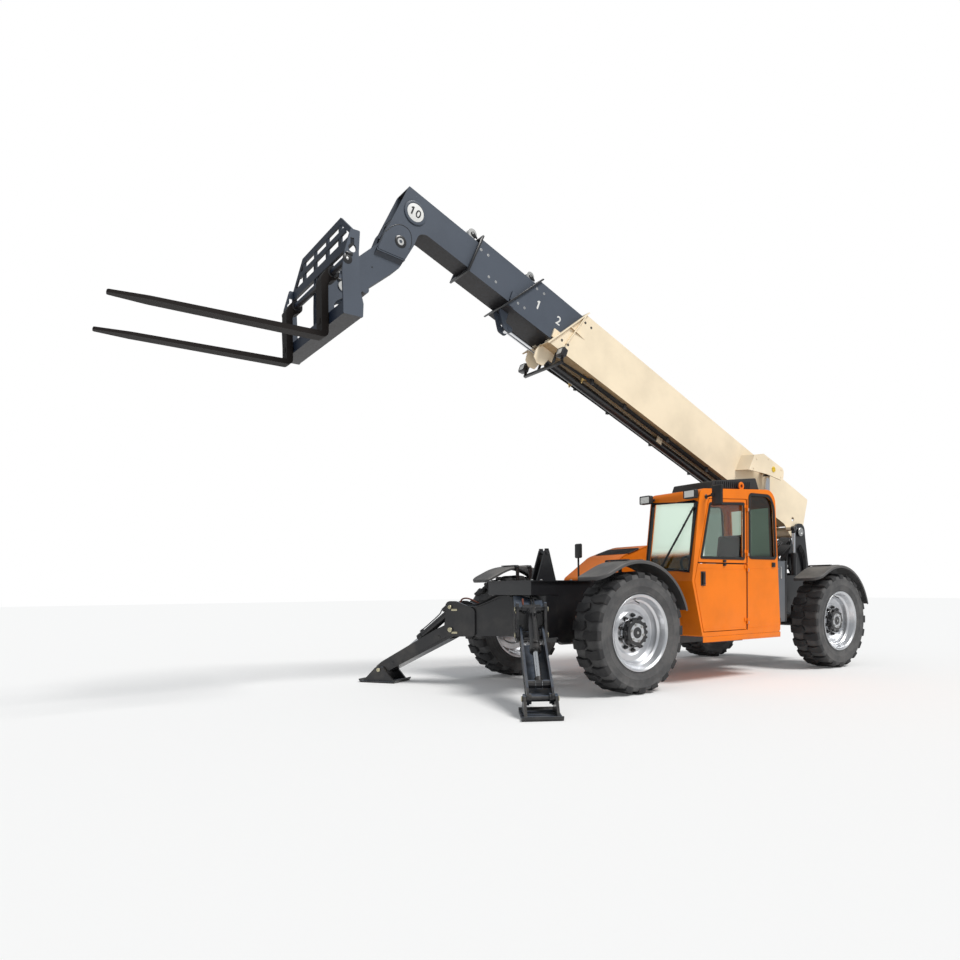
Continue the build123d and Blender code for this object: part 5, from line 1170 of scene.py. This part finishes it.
    def head(self) -> None:
        """Pin caps, pin collars and welded seams of the head."""
        cap = [(0.014, 0), (0.034, 0), (0.034, 0.003), (0.031, 0.0055), (0.016, 0.0055), (0.014, 0.003)]
        collar = disc(0.058, 0.003, 0.055, 0.005, 0.036, 0.038)
        Finish.STEEL.piece("tilt_pin_caps", *both(on_boom, cap, (6785, 129.2, -84), 40), body="section_4")
        Finish.SATIN.piece("tilt_pin_collars", *both(on_boom, collar, (6785, 129.1, -84), 40), body="section_4")
        beads = both(on_boom, [(0, 0), (0.007, 0), (0.007, 0.002), (0, 0.002)], (6925, 90.2, -460), 20)
        beads += [pipe(on_boom, 0.0035, *[(s, side * 128.6, t) for s, t in self.head_rim], sides=2) for side in SIDES]
        Finish.SATIN.piece("head_seams", *beads, body="section_4", angle=60)

    def pins(self) -> None:
        """Caps of the pivot and lift pins."""
        for finish, name, body, s, t, y, r in (
                (Finish.STEEL, "pivot_caps", "chassis", 0, 0, 278.2, 0.062),
                (Finish.YELLOW, "lift_pin_caps", "boom_base", 1093, 441, 402.2, 0.040)):
            made = both(on_boom, dished(r, 0.004, r - 0.005, 0.008, r * 0.45, r * 0.4, 0.005), (s, y, t), 40)
            for side in SIDES:
                for turn in (0.6, 3.74):
                    spot = on_boom(s, side * (y + 7), t) + Vector((math.cos(turn), 0, math.sin(turn))) * r * 0.72
                    made.append(Bench.bar(spot, spot + Vector((0, side * 0.006, 0)), 0.008, 6, 0.001))
            finish.piece(name, *made, body=body, slot="chrome_rod")

    def guard(self) -> None:
        """Bolts of the lift-cylinder guards, and the yellow boom lock inside."""
        for hand, side in HANDS:
            lock = lump(on_boom(1330, side * 340, 452), (0.06, 0.03, 0.04), 0.012, 3)
            spot = on_boom(1300, side * 372, 400)
            strap = Bench.slab(spot - Vector((0.02, 0.012, 0.05)), spot + Vector((0.02, 0.012, 0.09)), 0.004)
            Finish.YELLOW.piece(f"boom_lock_{hand}", lock, strap, body="boom_base")
            heads = [Bench.cap(disc(0.012, 0.004, 0.006, 0.007), on_boom(s, side * 402.3, t), (0, side, 0), 20)
                     for s, t in ((1500, 250), (1480, 400), (1250, 520), (930, 520), (900, 420))]
            Finish.CREAM.piece(f"guard_bolts_{hand}", *heads, body="boom_base")

    def hoses(self) -> None:
        """Hydraulic lines under and beside the outer section, with their clips and valves."""
        lines = [pipe(on_boom, 0.0085, (900, y, t), (1400, y, t), (2600, y, t), (3900, y, t), (4160, y, t - 4),
                      (4400, y * 0.95, t - 10), (4700, y * 0.9, t - 30)) for y in (150, -150) for t in (-34, -52)]
        lines += [pipe(on_boom, 0.011, (330, y, -60), (700, y, -50), (1500, y, -46), (3500, y, -46), (4300, y, -46))
                  for y in (-112, 112)]
        Finish.HOSE.piece("boom_hoses", *lines, body="boom_base")
        clips = [lump(on_boom(s, y, -43), (0.02, 0.016, 0.034), 0.004)
                 for s in (1300, 2100, 2900, 3700, 4250) for y in (-150, 150)]
        Finish.SATIN.piece("hose_clips", *clips, body="boom_base")
        valves = []
        for spot in trace(on_boom, (4340, 112, -42), (4340, -112, -42)):
            valves += [lump(spot, (0.045, 0.022, 0.028), 0.005),
                       Bench.cap([(0, 0), (0.014, 0), (0.014, 0.02), (0.009, 0.024), (0.009, 0.04), (0, 0.04)],
                                 spot + Vector((0.03, 0, -0.02)), (0.3, 0, -1), 20)]
        Finish.BRASS.piece("holding_valves", *valves, body="boom_base")

    def lights(self) -> None:
        """Work lamps on the cross bar below the mouth, replacing their blocks."""
        s, t = 4803, -82
        parts = [Bench.sheet(quad(on_boom, (s - 16, -385, t - 106), (s + 16, -385, t - 78)), (0, 0.695, 0), 0, 0.003)]
        lenses, bezels = [], []
        for y in (120, -136):
            parts.append(Bench.sheet(quad(on_boom, (s - 14, y, t - 80), (s + 14, y, -16)), (0, 0.016, 0), 0, 0.002))
        for y in (-430, 262):
            shell = [(s + ds, y, t + dt) for ds, dt in
                     ((12, -56), (70, -67), (78, -60), (78, 24), (70, 31), (12, 18))]
            parts.append(Bench.sheet(trace(on_boom, *shell), (0, 0.110, 0), 0.004, 0.008))
            for a in range(t - 50, t + 22, 12):
                parts.append(Bench.sheet(quad(on_boom, (s + 4, y + 14, a), (s + 18, y + 14, a + 4)), (0, 0.082, 0), 0,
                                         0.001))
            face = quad(on_boom, (s + 78.2, y + 4, t - 60), (s + 78.2, y + 106, t + 24))
            bezels.append(Bench.sheet(face, BOOM_TURN @ Vector((0.005, 0, 0)), 0.014, strip=0.008))
            inner = quad(on_boom, (s + 77, y + 12, t - 52), (s + 77, y + 98, t + 16))
            lenses.append(Bench.sheet(inner, BOOM_TURN @ Vector((0.004, 0, 0)), 0.006, 0.001))
        for y in (-385, 280):
            yoke = [(s - 14, y, t - 98), (s + 20, y, t - 98), (s + 20, y, t - 42), (s + 2, y, t - 42)]
            parts.append(Bench.sheet(trace(on_boom, *yoke), (0, 0.030, 0), 0, 0.003))
        lamps = Finish.SATIN.piece("boom_work_lamps", *parts, *bezels, body="boom_base", angle=30)
        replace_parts(lamps, "boom_lights")
        Finish.LENS.piece("boom_lamp_lenses", *lenses, body="boom_base")

    def build(self) -> None:
        """Build the boom's pieces."""
        for make in (self.numerals, self.bolts, self.collars, self.sheaves, self.strips, self.head, self.pins,
                     self.guard, self.hoses, self.lights):
            make()


# ------------------------------------------------------------------ carriage
@dataclass
class Carriage:
    """Pin caps, keepers, bosses, welds and fork fittings of the carriage."""

    pin: tuple = (2640.0, 3790.0)
    ear: tuple = (2670.0, 3940.0)
    shaft: tuple = (2858.0, 3740.0)

    def caps(self) -> None:
        """Caps, keepers and bosses of the carriage's pin, the tilt ears' pin and the fork shaft."""
        made = []
        for (x, z), y, profile, steps in (
                (self.pin, 124.2, dished(0.044, 0.004, 0.040, 0.007, 0.016, 0.014, 0.004), 40),
                (self.ear, 54.2, disc(0.030, 0.008, 0.026, 0.011), 32),
                (self.shaft, 768.2, disc(0.011, 0.002, 0.008, 0.003), 24)):
            made += both(at, profile, (x, y, z), steps)
        Finish.STEEL.piece("carriage_pin_caps", *made, body="carriage")
        keeper = Bench.join([Bench.slab((-0.03, 0, -0.012), (0.03, 0.006, 0.012), 0.002),
                             Bench.bar((0.018, 0.006, 0), (0.018, 0.014, 0), 0.009, 6, 0.001)])
        spots = []
        for x, y, z in ((self.pin[0] + 20, 120.2, self.pin[1] + 52), (self.shaft[0] - 14, 765.2, self.shaft[1] + 44)):
            spots += [Matrix.Translation(at(x, y, z)),
                      Matrix.Translation(at(x, -y, z)) @ Matrix.Rotation(math.pi, 4, "Z")]
        Finish.SATIN.piece("pin_keepers", Bench.copies(keeper, spots), body="carriage", angle=30)
        bosses = both(at, disc(0.040, 0.002, 0.037, 0.0032), (self.shaft[0], 765, self.shaft[1]), 44)
        Finish.SATIN.piece("shaft_bosses", *bosses, body="carriage", angle=30)

    def welds(self) -> None:
        """Weld beads along the lower box and the posts."""
        beads = [pipe(at, 0.004, (2766, y, 3399), (2800, y, 3399.5), (2850, y, 3398.5), (2890, y, 3399), sides=2)
                 for y in (744.2, -744.2)]
        beads += [pipe(at, 0.0035, (2790, y + dy, 3990), (2790.6, y + dy, 4010), (2790, y + dy, 4036),
                       (2790.4, y + dy, 4050), sides=2) for y in (-440, -150, 150, 440) for dy in (-25, 25)]
        Finish.BLACK.piece("carriage_welds", *beads, body="carriage", angle=60)

    def forks(self) -> None:
        """Chamfered eye bushes and a plate on each fork's shank."""
        bush = disc(0.046, 0.002, 0.043, 0.005, 0.0292)
        for hand, _ in HANDS:
            y = middle(f"fork_{hand}").y * 1000
            bushes = [Bench.cap(bush, at(self.shaft[0], y + side * 62, self.shaft[1]), (0, side, 0), 40)
                      for side in SIDES]
            Finish.SATIN.piece(f"fork_bushes_{hand}", *bushes, body=f"fork_{hand}", angle=30, slot="chrome_rod")
            plate = Bench.sheet(quad(at, (2963, y - 30, 3300), (2963, y + 30, 3345)), (-0.0035, 0, 0), 0.006, 0.001)
            Finish.FORKED.piece(f"fork_plate_{hand}", plate, body=f"fork_{hand}", angle=30)

    def build(self) -> None:
        """Build the carriage's pieces."""
        self.caps()
        self.welds()
        self.forks()


# ------------------------------------------------------------------ cylinders
@dataclass
class Ram:
    """Gland, wiper ring and rod eye of one hydraulic cylinder."""

    name: str
    barrel: str
    rod: str
    foot: Vector
    direction: Vector
    across: Vector
    length: float
    reach: float
    radius: float
    rod_radius: float
    eye: float
    eye_half: float

    def ring(self, profile: Sequence[Point], distance: float, direction: Vector | None = None) -> Object:
        """Ring at a distance along the cylinder, spun about a direction."""
        return Bench.cap(profile, self.foot + self.direction * distance, direction or self.direction, 36)

    def build(self) -> None:
        """Build the cylinder's pieces."""
        r, e, h, rod, end = self.radius, self.eye, self.eye_half, self.rod_radius, self.length + 0.004
        gland = self.ring([(rod + 0.0012, -0.050), (r + 0.005, -0.050), (r + 0.0082, -0.046), (r + 0.0082, -0.004),
                           (r + 0.005, -0.004), (r + 0.002, 0), (rod + 0.0012, 0)], end)
        Finish.SATIN.piece(f"{self.name}_gland", gland, body=self.barrel, angle=30)
        wiper = self.ring([(rod + 0.0008, 0), (rod + 0.010, 0), (rod + 0.007, 0.006), (rod + 0.0008, 0.007)], end)
        Finish.GASKET.piece(f"{self.name}_wiper", wiper, body=self.barrel, angle=30, slot="black_paint")
        eye = self.ring([(e - 0.004, -h - 0.0006), (e + 0.0006, -h + 0.002), (e + 0.0006, h - 0.002),
                         (e - 0.004, h + 0.0006), (0.0, h + 0.0006), (0.0, -h - 0.0006)], self.reach, self.across)
        neck = self.ring([(rod + 0.0006, 0), (rod + 0.009, 0.012), (e * 0.82, 0.052), (rod + 0.0006, 0.052)],
                         self.reach - e - 0.036)
        Finish.SATIN.piece(f"{self.name}_rod_eye", eye, neck, body=self.rod, angle=30)


class Rams:
    """The lift, levelling and stabilizer cylinders, placed from the joints."""

    def build(self) -> None:
        """Build every cylinder's pieces."""
        y = Vector((0, 1, 0))
        level = home("level_barrel_swing")
        level.y = 0.312
        rams = [Ram(f"lift_{hand}", "lift_barrel", "lift_rod", home("lift_barrel_swing") + y * (0.297 * side),
                    axis_of("lift_rod_slide"), y, 1.330, 1.98356, 0.066, 0.042, 0.052, 0.046) for hand, side in HANDS]
        rams.append(Ram("level", "level_barrel", "level_rod", level, axis_of("level_rod_slide"), y, 0.620, 0.98379,
                        0.042, 0.024, 0.034, 0.028))
        for hand, _ in HANDS:
            barrel, rod = f"stabilizer_barrel_{hand}", f"stabilizer_rod_{hand}"
            rams.append(Ram(f"stabilizer_{hand}", barrel, rod, home(f"{barrel}_swing"), axis_of(f"{rod}_slide"),
                            axis_of(f"{barrel}_swing"), 0.600, 1.01393, 0.046, 0.027, 0.036, 0.030))
        for ram in rams:
            ram.build()


# ------------------------------------------------------------------ stabilizers
@dataclass
class Stabilizer:
    """Pin caps, hose loop, valve block and pad plates of one stabilizer."""

    hand: str
    heading: float = 57.8
    slope: float = -27.0
    leg_length: float = 1051.0

    def __post_init__(self) -> None:
        """Read the leg's pivot and directions."""
        side = 1.0 if self.hand == "left" else -1.0
        swing = f"stabilizer_leg_{self.hand}_swing"
        self.pivot = home(swing)
        self.across = axis_of(swing).normalized()
        turn = math.radians(self.heading)
        self.out = Vector((math.cos(turn), side * math.sin(turn), 0))

    def spot(self, out: float, across: float, up: float) -> Vector:
        """Point from millimetres outwards, across the leg and up from its pivot."""
        return self.pivot + (self.out * out + self.across * across) / 1000 + Vector((0, 0, up / 1000))

    def on_leg(self, run: float, across: float, above: float) -> Vector:
        """Point in the leg's own frame, in millimetres."""
        turn = math.radians(self.slope)
        return self.spot(run * math.cos(turn) - above * math.sin(turn), across,
                         run * math.sin(turn) + above * math.cos(turn))

    def caps(self) -> None:
        """Zinc pin caps with keepers on the ears and the foot."""
        fixed, walking = [], []

        def cap(place: Vector, grow: float, way: int) -> Object:
            """Pin cap of a size, facing one way along the pin."""
            profile = dished(0.027, 0.004, 0.024, 0.007, 0.010, 0.009, 0.004)
            return Bench.cap([(r * grow, y) for r, y in profile], place, self.across * way, 36)

        lean = self.across.to_track_quat("Y", "Z").to_matrix().to_4x4()
        for way in SIDES:
            for up, grow in ((0, 1.0), (253, 0.8)):
                fixed.append(cap(self.spot(0, way * 159.3, up), grow, way))
                bar = Bench.slab((-0.036, -0.003, -0.011), (0.036, 0.003, 0.011), 0.002)
                fixed.append(Bench.settle(bar, Matrix.Translation(self.spot(-52, way * 151, up - 30)) @ lean))
            walking.append(cap(self.on_leg(self.leg_length, way * 155.3, 0), 0.85, way))
        Finish.ZINC.piece(f"stabilizer_pins_{self.hand}", *fixed, angle=30)
        Finish.ZINC.piece(f"foot_pins_{self.hand}", *walking, body=f"stabilizer_foot_{self.hand}", angle=30)

    def hoses(self) -> None:
        """Hoses that loop over the ears from the beam to the cylinder's valve."""
        rust = pipe(self.spot, 0.009, (-330, 60, 262), (-230, 66, 300), (-140, 74, 340), (-70, 80, 352),
                    (-16, 84, 330), (-6, 80, 285))
        Finish.RUST.piece(f"stabilizer_hose_{self.hand}", rust)
        lines = [pipe(self.spot, 0.0085, (-640, y, 384), (-560, y, 390 + up), (-420, y, 330 + up),
                      (-320, y, 276 + up), (-220, y, 272), (-110, y, 274)) for y, up in ((-30, 0), (-52, 10))]
        Finish.HOSE.piece(f"beam_hoses_{self.hand}", *lines)

    def valve(self) -> None:
        """Valve block with fittings and a pipe on the cylinder's barrel."""
        body = f"stabilizer_barrel_{self.hand}"
        run = axis_of(f"stabilizer_rod_{self.hand}_slide").normalized()
        top = home(f"{body}_swing")
        lift = self.across.cross(run)
        if lift.z < 0:
            lift = -lift
        spot = top + run * 0.110 + lift * 0.068

        def block(half: Point, bevel: float, place: Vector) -> Object:
            """Block turned with the barrel."""
            obj = Bench.slab(-Vector(half), half, bevel)
            return Bench.settle(obj, framed(place, run, self.across, run.cross(self.across)))

        valve = block((0.046, 0.030, 0.020), 0.005, spot)
        run_of_pipe = [top + run * a + lift * b for a, b in
                       ((0.140, 0.080), (0.185, 0.082), (0.2, 0.062), (0.42, 0.059), (0.515, 0.062))]
        Finish.SATIN.piece(f"stabilizer_pipe_{self.hand}", Bench.hose(run_of_pipe, 0.0065), body=body,
                           slot="chrome_rod")
        nuts = [Bench.bar(spot + self.across * a, spot + self.across * (a * 1.5), 0.011, 6, 0.001)
                for a in (0.030, -0.030)]
        Finish.SATIN.piece(f"stabilizer_valve_{self.hand}", valve, *nuts,
                           block((0.020, 0.018, 0.014), 0.004, top + run * 0.520 + lift * 0.054), body=body,
                           angle=30, slot="chrome_rod")

    def plates(self) -> None:
        """Welded plates and bolts on the leg, and weld beads over the pad."""
        made = []
        for way in SIDES:
            y = way * 117.2
            made += [Bench.cap(disc(0.018, 0.003, 0.009, 0.006), self.on_leg(s, y, 0), self.across * way, 20)
                     for s in (180, 860)]
            rib = trace(self.on_leg, (100, y, -52), (960, y, -42), (960, y, -34), (100, y, -44))
            made.append(Bench.sheet(rib, self.across * way * 0.005, 0, 0.001))
        Finish.BLACK.piece(f"leg_plates_{self.hand}", *made, body=f"stabilizer_leg_{self.hand}", angle=30)
        end = self.on_leg(self.leg_length, 0, 0)
        end.z = 0.023
        beads = []
        for out in (-150, -75, 0, 75, 150):
            a, b = (end + self.out * (out / 1000) + self.across * across for across in (-0.158, 0.158))
            beads.append(Bench.hose([a, a.lerp(b, 0.33), a.lerp(b, 0.66), b], 0.005, 2))
        Finish.BLACK.piece(f"pad_welds_{self.hand}", *beads, body=f"stabilizer_foot_{self.hand}", angle=60)

    def build(self) -> None:
        """Build the stabilizer's pieces."""
        self.caps()
        self.hoses()
        self.valve()
        self.plates()


# ------------------------------------------------------------------ frame and housing
@dataclass
class Chassis:
    """Tower hoses, valve bank, tank fittings, step, rest pads, kingpin caps and bolts of the frame."""

    tower: float = 256.0
    valve_pitch: float = 46.0
    valve_count: int = 5

    def tower_hoses(self) -> None:
        """Hose loops beside the pivot tower and their bulkhead."""
        y = self.tower + 10
        lines = [pipe(at, 0.0095, (x, y, 1120), (x - 6, y + 3, 1250), (x + 10, y + 14, 1420 + 18 * k),
                      (x + 60, y + 18, 1560 + 22 * k), (x + 110, y + 10, 1610 + 22 * k),
                      (x + 118, y + 2, 1650 + 22 * k)) for k, x in enumerate((-4330, -4356, -4382))]
        lines += [pipe(at, 0.0095, (-3905 - 24 * k, y + 1, 1380), (-3898 - 24 * k, y + 6, 1480),
                       (-3888 - 20 * k, y + 4, 1580), (-3900 - 20 * k, y - 4, 1640)) for k in range(2)]
        Finish.HOSE.piece("tower_hoses", *lines)
        ends = [Bench.bar(at(x, y, z - 14), at(x, y, z + 26), 0.0125, 6, 0.001) for x, z in
                ((-4330, 1108), (-4356, 1108), (-4382, 1108), (-3905, 1368), (-3929, 1368))]
        Finish.STEEL.piece("hose_ends", *ends, angle=30)
        Finish.SATIN.piece("hose_blocks", box((-4400, y - 11, 1050), (-4310, y + 14, 1096), 0.006),
                           box((-3945, y - 11, 1330), (-3885, y + 12, 1356), 0.005), angle=30)

    def valves(self) -> None:
        """Bank of valves on the tank, with hoses that curve to the tower."""
        bank, nuts, lines = [box((-2772, 790, 1404), (-2506, 940, 1440), 0.005)], [], []
        for k in range(self.valve_count):
            x = -2540 - k * self.valve_pitch
            bank += [box((x - 20, 800, 1440), (x + 20, 930, 1560), 0.006),
                     Bench.bar(at(x, 865, 1558), at(x, 865, 1640), 0.015, 20, 0.003)]
            for z, drop in ((1470, 0), (1528, 34)):
                nuts.append(Bench.bar(at(x, 929, z), at(x, 952, z), 0.014, 6, 0.001))
                lines.append(pipe(at, 0.0105, (x, 945, z), (x, 1000, z + 26 + drop), (x - 90, 1030, z + 120 + drop),
                                  (x - 250, 960, z + 150 + drop), (-3060 - k * 18, 800, z + 60 - drop),
                                  (-3120 - k * 18, 640, 1330 - drop)))
        Finish.SATIN.piece("valve_bank", *bank, angle=30)
        Finish.STEEL.piece("valve_nuts", *nuts, angle=30)
        Finish.HOSE.piece("valve_hoses", *lines)

    def tank(self) -> None:
        """Filler cap, straps and sight glass of the tank."""
        top = at(-2660, 720, 1432.4)
        cap = Bench.cap([(0, 0), (0.050, 0), (0.052, 0.004), (0.052, 0.022), (0.046, 0.030), (0.030, 0.032),
                         (0, 0.034)], top, (0, 0, 1), 40)
        ribs = Bench.copies(Bench.slab((0.050, -0.003, 0.004), (0.0555, 0.003, 0.024), 0.0015),
                            [Matrix.Translation(top) @ Matrix.Rotation(k * math.tau / 12, 4, "Z") for k in range(12)])
        Finish.TRIM.piece("tank_cap", cap, ribs, angle=30)
        straps = [box((x, 1009, 641), (x + 40, 1014, 1399), 0.002) for x in (-2800, -2570)]
        Finish.BLACK.piece("tank_straps", *straps, box((-2822, 458, 1398), (-2498, 1008, 1404), 0.003), angle=30)
        Finish.STEEL.piece("tank_sight", box((-2690, 1009, 1180), (-2660, 1018, 1330), 0.006, 3), angle=30)

    def fittings(self) -> None:
        """Step under the cab door, rubber pads on the boom rest, deck bolts and kingpin caps."""
        step = [box((x - 22, 1120, 470), (x + 22, 1134, 560), 0.003) for x in (-1690, -1210)]
        step.append(box((-1712, 1040, 462), (-1188, 1150, 474), 0.003))
        step += [box((x, 1046, 472), (x + 16, 1146, 479), 0.002) for x in range(-1700, -1180, 40)]
        Finish.BLACK.piece("cab_step", *step, angle=30)
        pads = [box((398, y - 14, 1496), (442, y + 14, 1512), 0.005) for y in (102, 202)]
        Finish.HOSE.piece("boom_rest_pads", *pads, angle=30)
        head = Bench.bolt((0, 0, 1), (0.010, 0.013, 0.0015), (0.003, 0.018, 0.0008))
        spots = [Matrix.Translation(at(x, y, 1165.2)) for x in (40, 240, 640, 760) for y in (-390, 390)]
        Finish.STEEL.piece("deck_bolts", Bench.copies(head, spots), angle=30)
        cap = [(0, 0), (0.048, 0), (0.048, 0.006), (0.040, 0.012), (0.008, 0.014), (0.007, 0.022), (0, 0.022)]
        for corner in CORNERS:
            made = [Bench.cap(cap, home(f"steer_{corner}") + Vector((0, 0, way * 0.1963)), (0, 0, way), 32)
                    for way in SIDES]
            Finish.STEEL.piece(f"kingpin_caps_{corner}", *made, angle=30)

    def build(self) -> None:
        """Build the frame's pieces."""
        self.tower_hoses()
        self.valves()
        self.tank()
        self.fittings()


@dataclass
class Housing:
    """Grille, vented panel, latches and bolts of the engine housing."""

    side: float = -1160.0
    rise: float = 152 / 470

    def build(self) -> None:
        """Build the housing's pieces."""
        slats = [box((-2764, self.side + 16, z), (-2056, self.side + 30, z + 9), 0.003) for z in range(1222, 1521, 23)]
        Finish.TRIM.piece("side_grille", *slats, body="hood", angle=30)
        panel = [at(x, y, 1502 + (-1330 - x) * self.rise) for x, y in
                 ((-1400, -1080), (-1400, -420), (-1640, -420), (-1640, -1080))]
        vent = [Bench.sheet(panel, (0, 0, 0.006), 0.05, 0.002)]
        for x in range(-1420, -1636, -24):
            z = 1506 + (-1330 - x) * self.rise
            vent.append(box((x - 9, -1050, z), (x, -450, z + 12), 0.003))
        Finish.TRIM.piece("hood_vent", *vent, body="hood", angle=30)
        latches = [box((x - 60, self.side - 0.5, 1140), (x + 60, self.side + 12, 1176), 0.005, 3)
                   for x in (-2500, -1300)]
        Finish.TRIM.piece("hood_latches", *latches, body="hood", angle=30)
        head = Bench.bolt((0, -1, 0), (0.006, 0.0085, 0.001), (0.002, 0.012, 0.0006))
        spots = [Matrix.Translation(at(x, self.side, z)) for x in (-2820, -2200, -1600, -1000) for z in (620, 1080)]
        Finish.STEEL.piece("pod_bolts", Bench.copies(head, spots), angle=30)


# ------------------------------------------------------------------ studio
@dataclass
class Studio:
    """Floor, light, background and camera."""

    eye: Point = (5.13789, 6.29742, 1.07949)
    right: Point = (-0.79060225, 0.61228704, -0.00725683)
    up: Point = (-0.01555606, -0.00823625, 0.99984507)
    lens: float = 26.741
    shift: Point = (-0.06994, 0.12486)

    def camera(self) -> None:
        """Camera at the front left, near the ground."""
        data = bpy.data.cameras.new("view")
        data.lens = self.lens
        data.sensor_width = 36.0
        data.shift_x, data.shift_y = self.shift
        data.clip_end = 200.0
        obj = bpy.data.objects.new("view", data)
        bpy.context.collection.objects.link(obj)
        x, y = Vector(self.right), Vector(self.up)
        obj.matrix_world = framed(Vector(self.eye) + Vector((HUB.x, 0, 0)), x, y, x.cross(y))
        bpy.context.scene.camera = obj

    def sun(self) -> None:
        """Large distant lamp, high to the left."""
        data = bpy.data.lights.new("key", "SUN")
        data.energy = 2.35
        data.angle = math.radians(20.0)
        data.color = (1.0, 0.985, 0.96)
        obj = bpy.data.objects.new("key", data)
        bpy.context.collection.objects.link(obj)
        obj.rotation_euler = Vector((-0.20, 0.60, 0.78)).to_track_quat("Z", "Y").to_euler()

    def world(self) -> None:
        """White background, and a soft sky for the light."""
        graph = Graph("studio", bpy.data.worlds.new("studio"))
        bpy.context.scene.world = graph.material
        sky = graph.add("ShaderNodeBackground", {}, {"Color": (0.93, 0.965, 1.0), "Strength": 0.42}).outputs[0]
        white = graph.add("ShaderNodeBackground", {}, {"Color": (1.0, 1.0, 1.0), "Strength": 1.0}).outputs[0]
        graph.add("ShaderNodeOutputWorld", {}, {0: graph.mixed(graph.seen(), sky, white)})

    def floor(self) -> None:
        """Pale ground that keeps the shadow."""
        Bench.clear()
        bpy.ops.mesh.primitive_plane_add(size=120.0)
        ground = bpy.context.object
        ground.name = "floor"
        graph = Graph("floor")
        shade = graph.add("ShaderNodeBsdfDiffuse", {}, {"Color": (0.90, 0.90, 0.90)}).outputs[0]
        glow = graph.add("ShaderNodeEmission", {}, {"Color": (1.0, 1.0, 1.0), "Strength": 0.06}).outputs[0]
        lit = graph.add("ShaderNodeAddShader", {}, {0: shade, 1: glow}).outputs[0]
        ground.data.materials.append(graph.close(graph.mixed(graph.seen(), shade, lit)))

    def build(self) -> None:
        """Build the studio."""
        self.camera()
        self.world()
        self.floor()
        self.sun()
        bpy.context.scene.view_settings.view_transform = "Standard"


CORNERS = ("front_left", "front_right", "rear_left", "rear_right")
NODE_FINISH = {
    Finish.FORKED: "fork_left fork_right",
    Finish.BLACK: "chassis_frame stabilizer_beam front_axle rear_axle stabilizer_leg_left stabilizer_leg_right "
                  "stabilizer_foot_left stabilizer_foot_right " + " ".join(f"knuckle_{c}" for c in CORNERS),
    Finish.SATIN: "stabilizer_barrel_left stabilizer_barrel_right lift_barrel level_barrel tilt_barrel "
                  "extend_barrel boom_lights",
    Finish.CHROME: "stabilizer_rod_left stabilizer_rod_right lift_rod level_rod tilt_rod extend_rod",
    Finish.ORANGE: "cab_shell door_lower door_upper engine_hood engine_pod",
    Finish.CREAM: "boom_base",
    Finish.SLATE: "boom_section_2 boom_section_3 boom_section_4 fork_carriage",
    Finish.SILVER: " ".join(f"rim_{c}" for c in CORNERS),
    Finish.FENDER: " ".join(f"fender_{c}" for c in CORNERS),
    Finish.IRON: "engine_block driveline",
    Finish.GLASS: "cab_glass door_glass",
    Finish.CABIN: "seat_base cab_console",
    Finish.TRIM: "roof_vent mirrors_and_lamps",
    Finish.GREY: "hydraulic_tank",
    Finish.CLOTH: "cab_seat",
}


def dress_frame() -> None:
    """Give every CAD node its finish."""
    for finish, names in NODE_FINISH.items():
        for name in names.split():
            obj = NODES[name]
            if not obj.data.materials:
                obj.data.materials.append(finish.material())
            for slot in obj.material_slots:
                slot.material = finish.material()


def main() -> None:
    """Build the sub-assemblies in order."""
    logging.basicConfig(level=logging.INFO, format="%(name)s: %(message)s")
    Studio().build()
    dress_frame()
    for corner in CORNERS:
        Wheel(corner).build()
    for part in (Cab(), Boom(), Carriage(), Rams(), Stabilizer("left"), Stabilizer("right"), Chassis(), Housing()):
        part.build()


if __name__ == "__main__":
    main()
